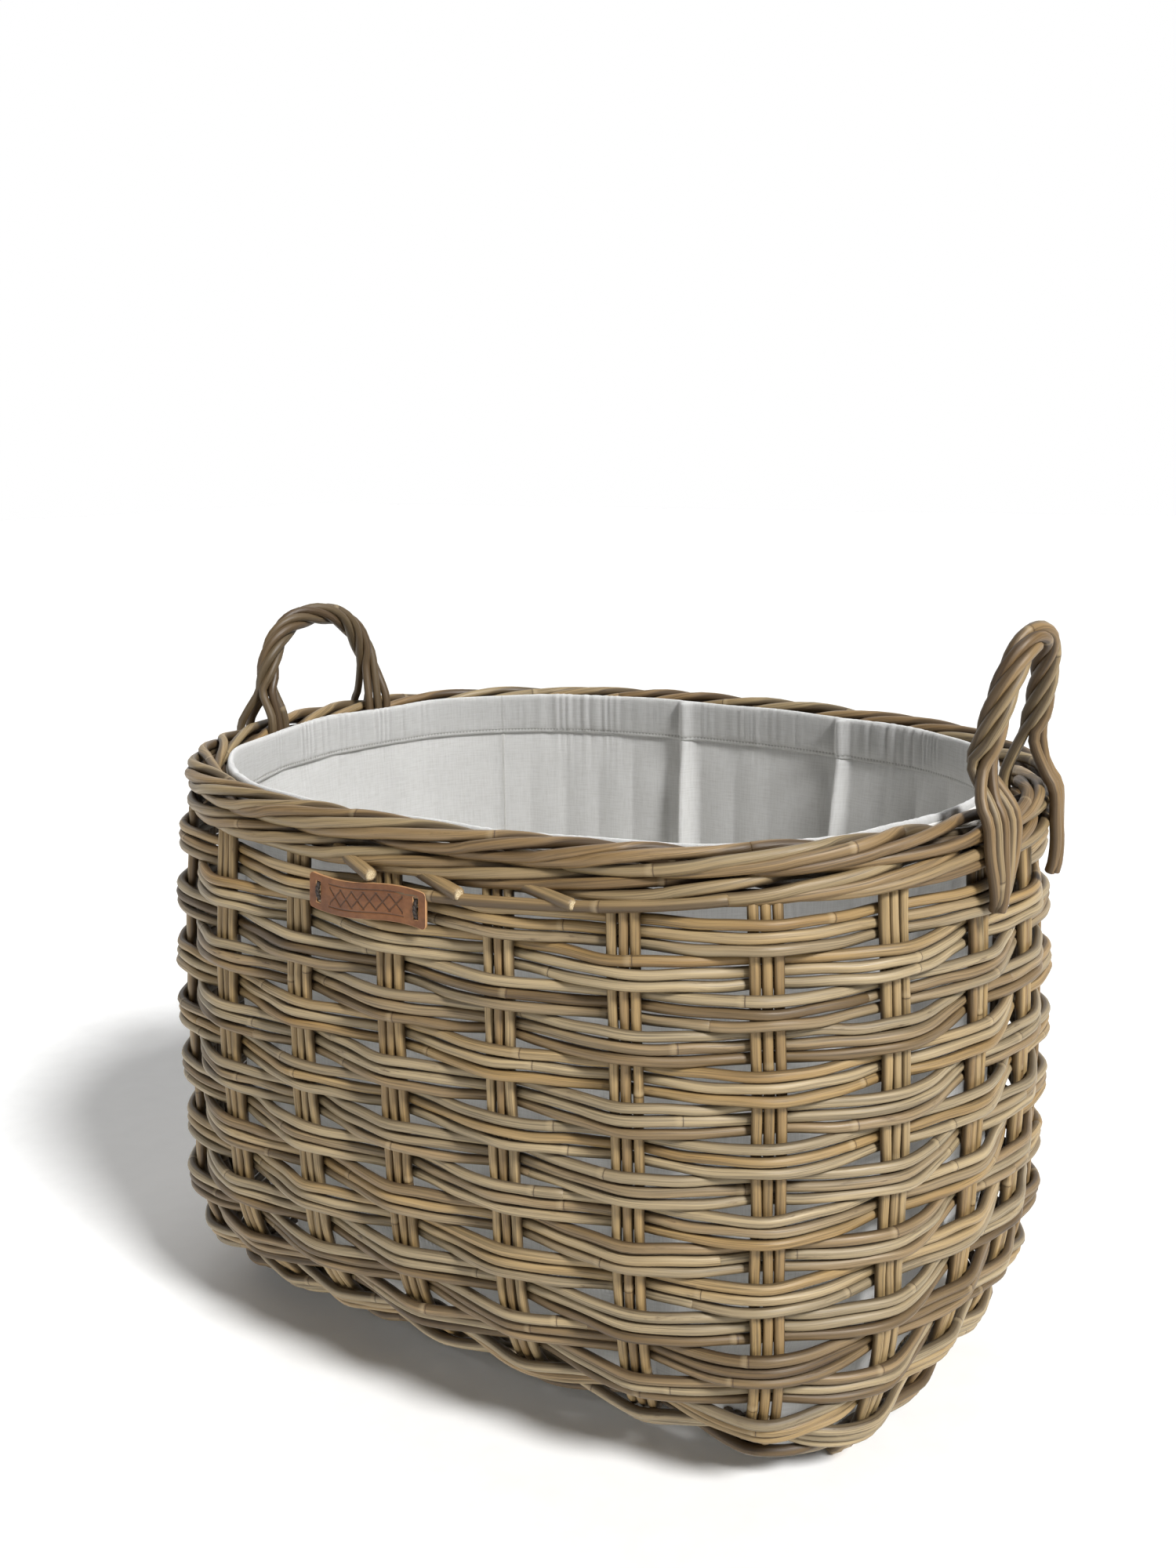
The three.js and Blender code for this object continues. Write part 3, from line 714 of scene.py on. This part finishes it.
def handle(name, side, turn, shift, half_span, rise, lean, twists, outside, seed):
    """Roped arch: its strands wind round each other and end as tails splayed over the border.
    outside is how many strands of each foot go down the outer face of the border."""
    rng = np.random.default_rng(seed)
    canes = Canes()
    turns = [turn + side * (shift + end * half_span) / RIM_LENGTH for end in (-1, 1)]
    feet = [rim_point(t, -FOOT_INSET, BORDER_HALF_HEIGHT) for t in turns]
    middle, reach = (feet[0] + feet[1]) / 2, (feet[1] - feet[0]) / 2
    angle = np.linspace(0.05, math.pi - 0.05, 90)
    centre = middle - reach * signed_power(np.cos(angle), 0.8)[:, None]
    centre = centre + np.array([side * lean, 0, rise]) * (np.sin(angle) ** 0.8)[:, None]
    along = unit(np.gradient(centre, axis=0))
    across = unit(np.array([side, 0, 0]) - (along[:, :1] * side) * along)
    other = np.cross(along, across)
    length = distances(centre)
    share = length / length[-1]
    rope = ROPE * (1 + 0.25 * np.abs(2 * share - 1) ** 4)
    start = rng.random()
    wound = []
    for strand in range(ROPE_STRANDS):
        twist = 2 * np.pi * ((strand + start) / ROPE_STRANDS + twists * share)
        spokes = across * np.cos(twist)[:, None] + other * np.sin(twist)[:, None]
        wound.append(centre + rope[:, None] * spokes)
    low, high = np.searchsorted(length, [14 * MM, length[-1] - 14 * MM])
    tails = [foot_tails([w[end] - centre[end] for w in wound], foot_turn, side, count, rng)
             for end, foot_turn, count in ((low, turns[0], outside[0]), (high, turns[1], outside[1]))]
    for strand, line in enumerate(wound):
        points = np.concatenate([tails[0][strand][::-1], line[low:high:4], tails[1][strand]])
        radius = STRAND * rng.uniform(0.95, 1.05)
        canes.add(smooth_line(points, 2 * MM), radius, np.array([side, 0.3, 0.2]), rng,
                  knuckles=0.25, sides=10)
    return canes.make(f"{name}_canes", HANDLE_CANE, "handle_cane", name)


def foot_tails(offsets, turn, side, count, rng):
    """Tails from the foot of the rope: the outermost go over the border and down its outer face, the
    others down its inner face, side by side in the order that they leave the rope."""
    order = sorted(range(len(offsets)), key=lambda i: -offsets[i][0] * side)
    tails = [None] * len(offsets)
    for way, lot in ((1, order[:count]), (-1, order[count:])):
        lot = sorted(lot, key=lambda i: offsets[i][1] * side)
        for rank, strand in enumerate(lot):
            place = 2 * rank / max(1, len(lot) - 1) - 1
            tails[strand] = foot_tail(turn, way, place * len(lot) / ROPE_STRANDS, rng)
    return tails


def foot_tail(turn, way, place, rng):
    """Points of one tail. place, from -1 to 1, is where it stands along the border."""
    clear = BORDER_HALF_WIDTH + STRAND + 0.6 * MM
    top = BORDER_HALF_HEIGHT
    if way > 0:
        stops = [(clear - 8 * MM, top + 8 * MM, 13), (clear - 1 * MM, top - 4 * MM, 14.5),
                 (clear, -6 * MM, 13), (clear, -22 * MM, 8.5), (clear - 2 * MM, -36 * MM, 3.5),
                 (clear - 4 * MM, -43 * MM, 1.5)]
    else:
        stops = [(-clear + 1 * MM, top + 6 * MM, 14), (-clear, top - 8 * MM, 15), (-clear, -14 * MM, 13)]
    # The middle strands lie on the outer ones where the tails draw together.
    heap = 4.5 * MM * (1 - abs(place))
    points = []
    for out, up, fan in stops:
        gathered = heap * (1 - fan / 15) if way > 0 else 0
        fanned = (place * fan + rng.uniform(-0.4, 0.4)) * MM / RIM_LENGTH
        points.append(rim_point(turn + fanned, out + gathered, up))
    return np.array(points)


handle("handle_right", 1, 0.25, 3 * MM, 46 * MM, 101 * MM, 22 * MM, 2.3, (5, 3), 61)
handle("handle_left", -1, 0.75, 21 * MM, 60 * MM, 81 * MM, 4.5 * MM, 2.2, (2, 2), 62)


# ---- base mat

def mat_band(rng, place, run, z, axis):
    """Three canes side by side, along X for axis 0 and along Y for axis 1."""
    canes = Canes()
    for row in (-1, 0, 1):
        aside = place + SPACING * 0.97 * row + 0 * run
        line = np.stack([aside, run, z] if axis else [run, aside, z], -1)
        canes.add(line, 3.15 * MM, UP, rng, step=7 * MM)
    return canes


def base_mat():
    """Plain weave of three-cane bands, the lengthwise ones over and under the crosswise ones."""
    lengthwise = [f"base_lengthwise_{i}" for i in range(1, 5)]
    crosswise = [f"base_crosswise_{i}" for i in range(1, 6)]
    places = {name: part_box(name) for name in lengthwise + crosswise}
    middle = 6.9 * MM
    a, b = half_sizes(ROWS - 1)
    reach_x, reach_y = a - 34 * MM, b - 43 * MM
    pitch_y = 36 * MM

    def clear(place, along, across):
        share = min(1, abs(place) / along)
        return across * (1 - share ** 3.4) ** (1 / 3.4)

    rng = np.random.default_rng(77)
    columns = np.arange(-10, 11) * 22 * MM
    rows = np.arange(-3, 4) * pitch_y
    sets = []
    for i, y in enumerate(rows):
        half = clear(abs(y) + 8 * MM, reach_y, reach_x)
        x = np.linspace(-half, half, 160)
        z = middle + 3.2 * MM * np.cos(np.pi * (x / (22 * MM) + i))
        sets.append((mat_band(rng, y, x, z, 0), "lengthwise", y))
    for i, x0 in enumerate(columns):
        half = clear(abs(x0) + 8 * MM, reach_x, reach_y)
        y = np.linspace(-half, half, 160)
        z = middle - 3.2 * MM * np.cos(np.pi * (y / pitch_y + (i - 10)))
        sets.append((mat_band(rng, x0, y, z, 1), "crosswise", x0))
    left = {"lengthwise": list(lengthwise), "crosswise": list(crosswise)}
    for number, (canes, kind, place) in enumerate(sets):
        axis = 1 if kind == "lengthwise" else 0
        nodes = [n for n in left[kind]
                 if abs((places[n][0][axis] + places[n][1][axis]) / 2 - place) < 12 * MM]
        left[kind] = [n for n in left[kind] if n not in nodes]
        canes.make(f"base_{kind}_canes_{two(number + 1)}", BASE_CANE, "base_cane", *nodes)


base_mat()


# ---- liner

CLOTH = 1.1 * MM
ROUND = 1080
SEAM_HEIGHT = 130 * MM
SEAM_TURN = 0.6345
FOLDS = [0.531, 0.443]
# The lower wall's heights in mm, and at some of them how far it has come in from the hem to the foot.
LOWER_HEIGHTS = (124, 118, 113, 108, 102, 96, 90, 84, 79, 74, 70, 66, 61, 57, 50, 42, 34, 26, 17.2)
LOWER_SHARES = {57: 1, 66: 0.84, 74: 0.62, 84: 0.42, 96: 0.25, 108: 0.1, 118: 0.04}
# The hem's section in mm, outwards and down, from its outer edge over the top to its inner edge.
HEM_SECTION = [(0.3, -26), (0.1, -22), (0, -12), (0, -4), (-0.6, -1.2), (-1.8, 0), (-2.9, 0), (-4.0, -1.2),
               (-4.4, -4), (-4.6, -9), (-4.6, -14), (-4.5, -19), (-4.4, -24), (-4.0, -28), (-3.5, -30),
               (-3.2, -31), (-3.4, -32.5), (-3.2, -34)]


def smoothstep(value, low, high):
    share = np.clip((value - low) / (high - low), 0, 1)
    return share * share * (3 - 2 * share)


def hem_inset(turn):
    """How far the hem stands inside the border's centre line: more round the handles."""
    away = np.abs(np.mod(turn * 2, 1) - 0.5) * RIM_LENGTH / 2
    near = 1 - smoothstep(away, 95 * MM, 140 * MM)
    return HEM_INSET + (HEM_INSET_AT_HANDLES - HEM_INSET) * near


def liner_ring(turn, inset):
    """Outline parallel to the last row, moved in."""
    a, b = half_sizes(ROWS - 1)
    corner = corner_radius(ROWS - 1) - max(0, inset - 22.5 * MM) / 2
    x, y, _, _, _ = outline(a - inset, b - inset, corner, side_arc(ROWS - 1), turn)
    return np.stack([x, y], -1)


def from_fold(turn, fold):
    """Distance along the hem from a fold, signed."""
    return (np.mod(turn - fold + 0.5, 1) - 0.5) * RIM_LENGTH


def cloth_places(turn, section, seam):
    """Material coordinates of a grid: along the hem, down the cloth, and how much of a seam it is."""
    down = distances(section)
    places = np.zeros((len(turn), len(down), 3))
    places[..., 0] = (turn * RIM_LENGTH)[:, None]
    places[..., 1] = down
    places[..., 2] = seam
    return places


def liner_part(name, grid, thickness, material, places, node, slot):
    return fit(shell(name, grid, thickness, material, places), "liner", slot, node)


def fold(turn, at):
    """Height of a fold in the cloth, with the dip beside it."""
    away = from_fold(turn, at)
    return np.exp(-(away / (6 * MM)) ** 2) - 0.5 * np.exp(-((away - 11 * MM) / (7 * MM)) ** 2)


def liner():
    """The liner's pieces: the wall takes the shared ripples, folds and puckers, the lower wall the ripples,
    and the hem the folds and puckers.
    """
    rng = np.random.default_rng(90)
    turn = np.arange(ROUND) / ROUND
    ripples = np.abs(waves(rng, turn, 12, 34, 6))
    billow = waves(rng, turn, 3, 9, 4)
    puckers = np.abs(np.sin(np.pi * turn * 86 + 4 * waves(rng, turn, 10, 40, 4)))
    puckers = puckers * np.clip(0.35 + 0.5 * waves(rng, turn, 3, 12, 4), 0.1, 1)
    folds = sum(fold(turn, at) for at in FOLDS)
    seam_line = np.exp(-(from_fold(turn, SEAM_TURN) / (1.4 * MM)) ** 2)
    inwards = rim_point(turn, -1, 0)[:, :2] - rim_point(turn, 0, 0)[:, :2]
    liner_wall(turn, inwards, ripples, billow, puckers, folds, seam_line)
    liner_lower_wall(turn, inwards, ripples, seam_line)
    liner_hem(turn, rng, puckers, folds, seam_line)
    liner_elastic(turn[::2])
    liner_floor(turn[::4])


def liner_wall(turn, inwards, ripples, billow, puckers, folds, seam_line):
    """Hangs from the hem to the seam near the bottom."""
    top = rim_point(turn, -hem_inset(turn) - 1.6 * MM, HEM_TOP - HEM_HEIGHT + 3 * MM)
    shares = np.linspace(0, 1, 44)
    grid = np.zeros((ROUND, len(shares), 3))
    for k, share in enumerate(shares):
        z = top[:, 2] * (1 - share) + SEAM_HEIGHT * share
        depth = top[:, 2] - z
        swell = np.sin(np.pi * share)
        move = ripples * 3.2 * MM * np.minimum(1, depth / (50 * MM)) * (1 - 0.5 * share)
        move = move + puckers * 1.4 * MM * np.exp(-depth / (30 * MM))
        move = move + np.maximum(0, billow + 0.4) * 7 * MM * swell + 1.2 * MM * seam_line
        move = move + folds * (9 + 6 * swell) * MM * (1 - share ** 3)
        grid[:, k, :2] = top[:, :2] + inwards * np.maximum(0, move)[:, None]
        grid[:, k, 2] = z
    seam = np.maximum(seam_line[:, None], 0.9 * (shares > 0.985)[None])
    wall = liner_part("liner_wall_cloth", grid, CLOTH, COTTON, cloth_places(turn, grid[0], seam),
                      "liner_wall", "liner_cotton")


def liner_lower_wall(turn, inwards, ripples, seam_line):
    """Comes in over the last rows and goes down to the floor panel."""
    heights = np.array([SEAM_HEIGHT / MM, *LOWER_HEIGHTS])
    shares = np.interp(heights, [*LOWER_SHARES, SEAM_HEIGHT / MM], [*LOWER_SHARES.values(), 0])
    lower = np.zeros((ROUND, len(heights), 3))
    for k, (z, share) in enumerate(zip(heights, shares)):
        foot = liner_ring(turn, (23.5 + 3.5 * np.clip((57 - z) / 40, 0, 1)) * MM)
        start = rim_point(turn, -hem_inset(turn) - 1.6 * MM, 0)[:, :2]
        move = ripples * 2.2 * MM * (0.4 + 0.6 * math.sin(math.pi * min(1, k / (len(heights) - 1))))
        lower[:, k, :2] = start * (1 - share) + foot * share + inwards * (move + 0.3 * MM)[:, None]
        lower[:, k, 2] = z * MM - (0.5 * MM if k == 0 else 0)
    places = cloth_places(turn, lower[0], np.maximum(seam_line[:, None], 0.9 * (heights > 129)[None]))
    lower_wall = liner_part("liner_lower_wall_cloth", lower, CLOTH, COTTON, places,
                            "liner_lower_wall", "liner_cotton")


def liner_hem(turn, rng, puckers, folds, seam_line):
    """Casing folded over the elastic, gathered into fine puckers, its inner edge stitched down."""
    section = np.array(HEM_SECTION) * MM
    hem = np.zeros((ROUND, len(section), 3))
    gather = puckers - 0.5
    wander = 0.9 * MM * waves(rng, turn, 4, 15, 5)
    sway = 0.7 * MM * np.abs(waves(rng, turn, 5, 18, 5))
    for k, (out, down) in enumerate(section):
        bulge = math.sin(math.pi * k / (len(section) - 1)) ** 0.5
        inner = out < -2.9 * MM
        move = (-2.4 * MM * (gather + 0.5) if inner else -0.5 * MM * (gather + 0.5)) * bulge
        move = move - np.maximum(0, folds) * (7 * MM if inner else 1.5 * MM)
        up = HEM_TOP - 0.8 * MM + down + (0.8 * MM * gather * bulge + wander) * (down > -5 * MM)
        hem[:, k] = rim_point(turn, -hem_inset(turn) - 0.6 * MM - sway + out + move, up)
    stitched = 1.0 * (np.abs(np.arange(len(section)) - 15) < 1)
    seam = np.maximum(stitched[None], 0.6 * seam_line[:, None])
    hem_piece = liner_part("liner_hem_casing", hem, 0.8 * MM, COTTON,
                           cloth_places(turn, section, seam), "liner_hem", "liner_cotton")


def liner_elastic(turn):
    """Band stretched inside the hem."""
    rises = np.linspace(HEM_TOP - HEM_HEIGHT + 12 * MM, HEM_TOP - 6 * MM, 6)
    band = np.stack([rim_point(turn, -hem_inset(turn) - 1.5 * MM, up) for up in rises[::-1]], 1)
    elastic = liner_part("liner_elastic_band", band, 0.8 * MM, ELASTIC, cloth_places(turn, band[0], 0),
                         "liner_elastic", "liner_elastic")


def liner_floor(turn):
    """Floor panel, sewn to the lower wall's foot."""
    foot = liner_ring(turn, 28.5 * MM)
    rings = np.linspace(1, 0.02, 26)
    panel = np.zeros((len(turn), len(rings), 3))
    sag = waves(np.random.default_rng(5), turn, 2, 7, 4)
    for k, share in enumerate(rings):
        panel[:, k, :2] = foot * share
        panel[:, k, 2] = 16.9 * MM + 0.5 * MM * sag * share * (1 - share) * 4
    places = panel * np.array([1, 1, 0])
    floor_cloth = liner_part("liner_floor_cloth", panel, CLOTH, COTTON, places,
                             "liner_base", "liner_cotton")
    close_centre(floor_cloth, turn)


def close_centre(piece, turns):
    """Closes the small hole left in the middle of a panel made of rings."""
    mesh = piece.data
    count = len(turns)
    rings = len(mesh.vertices) // (2 * count)
    work = bmesh.new()
    work.from_mesh(mesh)
    work.verts.ensure_lookup_table()
    work.faces.ensure_lookup_table()
    rim = {work.verts[u * rings + rings - 1 + side * count * rings]
           for u in range(count) for side in (0, 1)}
    bridge = [f for f in work.faces if all(v in rim for v in f.verts)]
    bmesh.ops.delete(work, geom=bridge, context="FACES_ONLY")
    loose = [e for e in work.edges if e.is_boundary or e.is_wire]
    wires = [e for e in loose if e.is_wire]
    bmesh.ops.delete(work, geom=wires, context="EDGES")
    bmesh.ops.holes_fill(work, edges=[e for e in work.edges if e.is_boundary], sides=0)
    bmesh.ops.recalc_face_normals(work, faces=work.faces[:])
    work.to_mesh(mesh)
    work.free()


liner()


# ---- label

LABEL_OUT = 12.3 * MM
LABEL_LENGTH = 95 * MM
SLOT_PLACE = 0.42 * LABEL_LENGTH


def label_point(along, out, up):
    """Point along the label from its middle, out from its back and up."""
    start = FIRST_STAKE + LABEL_STAKE / STAKES
    point, normal, down, _ = wall_frame(start + along / perimeter(0), 0.0 + 0 * along)
    return point + normal * (LABEL_OUT + out)[:, None] - down * up[:, None]


def slab_faces(keep):
    """Faces of a slab whose grid has the cells in keep, and the points on the edges of its top."""
    across, tall = keep.shape[0] + 1, keep.shape[1] + 1
    index = np.arange(across * tall).reshape(across, tall)
    count = across * tall
    faces = []
    edges = {}
    for i, j in zip(*np.nonzero(keep)):
        quad = [index[i, j], index[i + 1, j], index[i + 1, j + 1], index[i, j + 1]]
        faces.append([int(q) for q in quad])
        faces.append([int(q) + count for q in quad[::-1]])
        for p, q in zip(quad, quad[1:] + quad[:1]):
            key = (int(min(p, q)), int(max(p, q)))
            edges.setdefault(key, []).append((int(p), int(q)))
    for uses in edges.values():
        if len(uses) == 1:
            p, q = uses[0]
            faces.append([q, p, p + count, q + count])
    return faces, {v for uses in edges.values() if len(uses) == 1 for v in uses[0]}


def label():
    """Leather strip with a slot near each end, bent to the weave."""
    length, height, thick = LABEL_LENGTH, 23 * MM, 2 * MM
    across, tall = 238, 58
    x = np.linspace(-length / 2, length / 2, across)
    y = np.linspace(-height / 2, height / 2, tall)
    gx, gy = np.meshgrid(x, y, indexing="ij")
    keep = np.ones((across - 1, tall - 1), bool)
    mid_x, mid_y = (x[1:] + x[:-1]) / 2, (y[1:] + y[:-1]) / 2
    for side in (-1, 1):
        slot_x = side * SLOT_PLACE
        inside = (np.abs(mid_x[:, None] - slot_x) < 2.1 * MM) & (np.abs(mid_y[None]) < 7.2 * MM)
        keep &= ~inside
    sag = 1.8 * MM * np.sin(2.0 * np.pi * gx / length)
    deep = motif(gx, gy)
    deboss = -0.6 * MM * deep
    radius = 3 * MM
    past = np.maximum(0, np.abs(gy) - (height / 2 - radius))
    pull = radius - np.sqrt(np.maximum(radius ** 2 - past ** 2, 0))
    near = np.clip((np.abs(gx) - (length / 2 - 4 * radius)) / (4 * radius), 0, 1)
    gx = gx - np.sign(gx) * pull * near ** 2
    bend = 0.9 * MM * np.cos(2 * np.pi * gx / length * 1.3)
    top = label_point(gx.ravel(), (thick + deboss + bend).ravel(), (gy + sag).ravel())
    low = label_point(gx.ravel(), bend.ravel(), (gy + sag).ravel())
    faces, border = slab_faces(keep)
    edge = 0.5 - 0.5 * deep.ravel()
    edge[list(border)] = 1
    flat = np.stack([gx.ravel(), gy.ravel(), edge], -1)
    used = sorted({v for f in faces for v in f})
    new = {v: i for i, v in enumerate(used)}
    verts = np.concatenate([top, low])[used]
    coordinates = np.concatenate([flat, flat])[used]
    piece = mesh_object("label_leather_strip", verts, [[new[v] for v in f] for f in faces], LEATHER,
                        cloth=coordinates)
    fit(piece, "basket", "label_leather", "label")


def motif(x, y):
    """Debossed decoration, 0 to 1: a lattice of lozenges between two fine lines."""
    scale = 5 * MM
    u, v = x / scale, y / scale
    lattice = np.minimum(np.abs(((u + v) % 2) - 1), np.abs(((u - v) % 2) - 1))
    lines = np.clip(1.6 * (1 - lattice / 0.2), 0, 1)
    field = (np.abs(x) < 30 * MM) & (np.abs(y) < 5.6 * MM)
    rules = np.clip(1 - np.abs(np.abs(y) - 7.2 * MM) / (0.6 * MM), 0, 1) * (np.abs(x) < 31 * MM)
    return np.maximum(lines * field, rules)


def label_tie(name, side):
    """Two twisted threads through a slot."""
    rng = np.random.default_rng(70 + side)
    canes = Canes()
    up = np.linspace(-10.5, 10.5, 60) * MM
    for strand in range(2):
        twist = np.pi * (strand + up / (3.2 * MM))
        out = 1.9 * MM * np.cos(np.clip(up / (7 * MM), -1, 1) * np.pi / 2)
        out = out - 3.2 * MM * (np.abs(up) > 7 * MM)
        along = side * SLOT_PLACE + 0.75 * MM * np.cos(twist)
        line = label_point(along, out + 0.75 * MM * np.sin(twist), up * 0.82)
        canes.add(line, 0.85 * MM, np.array([0.3, -1, 0.1]), rng, knuckles=0, sides=7, step=1.2 * MM)
    return canes.make(f"{name}_thread", THREAD, "label_tie", name)


label()
label_tie("label_tie_left", -1)
label_tie("label_tie_right", 1)


# ---- camera, floor and light

def camera():
    yaw, pitch, roll = 0.611, 0.21, -0.014
    forward = Vector((-math.sin(yaw) * math.cos(pitch), math.cos(yaw) * math.cos(pitch), -math.sin(pitch)))
    right = Vector((math.cos(yaw), math.sin(yaw), 0))
    up = right.cross(forward)
    right, up = math.cos(roll) * right + math.sin(roll) * up, math.cos(roll) * up - math.sin(roll) * right
    data = bpy.data.cameras.new("camera")
    data.sensor_width = 36
    data.lens = 36 * 2065 / 2000
    data.clip_start, data.clip_end = 0.01, 60
    eye = bpy.data.objects.new("camera", data)
    turn = Matrix((right, up, -forward)).transposed().to_4x4()
    eye.matrix_world = Matrix.Translation((0.6637, -0.9622, 0.6492)) @ turn
    put_in_scene(eye)
    bpy.context.scene.camera = eye


def floor():
    n = Nodes(bpy.data.materials.new("floor_paper"))
    place = n.add("ShaderNodeTexCoord").outputs["Object"]
    fleck = n.noise(place, (40, 40, 40), detail=3)
    n.finish(n.ramp(fleck, [(0.3, srgb(247, 247, 246)), (0.7, srgb(251, 251, 250))]), 0.9)
    size = 12
    verts = [(-size, -size, 0), (size, -size, 0), (size, size, 0), (-size, size, 0)]
    piece = mesh_object("floor", verts, [[0, 1, 2, 3]], n.owner, smooth=False)


def soft_light(name, place, aim, size, power):
    data = bpy.data.lights.new(name, "AREA")
    data.shape = "DISK"
    data.size = size
    data.energy = power
    lamp = bpy.data.objects.new(name, data)
    lamp.location = place
    lamp.rotation_euler = (Vector(aim) - Vector(place)).to_track_quat("-Z", "Y").to_euler()
    put_in_scene(lamp)


def studio():
    """White backdrop for the camera; its light is bright behind the basket and low elsewhere, so that the
    key light models the canes."""
    world = bpy.data.worlds.new("studio")
    bpy.context.scene.world = world
    n = Nodes(world, "Background")
    place = n.add("ShaderNodeTexCoord").outputs["Generated"]
    dot = n.add("ShaderNodeVectorMath", operation="DOT_PRODUCT")
    n.put(place, dot.inputs[0])
    n.put((-0.56, 0.80, -0.2), dot.inputs[1])
    light = n.ramp(dot.outputs["Value"], [(0.29, 0.1), (0.42, 1.0)])
    camera_ray = n.add("ShaderNodeLightPath").outputs["Is Camera Ray"]
    n.put(n.mix(camera_ray, light, (1, 1, 1, 1)), n.shader.inputs[0])
    sun = bpy.data.lights.new("key", "SUN")
    sun.energy, sun.angle = 4.3, math.radians(14)
    lamp = bpy.data.objects.new("key", sun)
    lamp.rotation_euler = Vector((0.78, -0.24, 0.74)).to_track_quat("Z", "Y").to_euler()
    put_in_scene(lamp)
    soft_light("fill", (-0.9, -2.6, 1.2), (0, 0, 0.2), 1.6, 9)
    soft_light("top", (-0.3, 0.5, 3.2), (0, 0, 0.2), 1.4, 14)
    bpy.context.scene.view_settings.view_transform = "Standard"


camera()
floor()
studio()
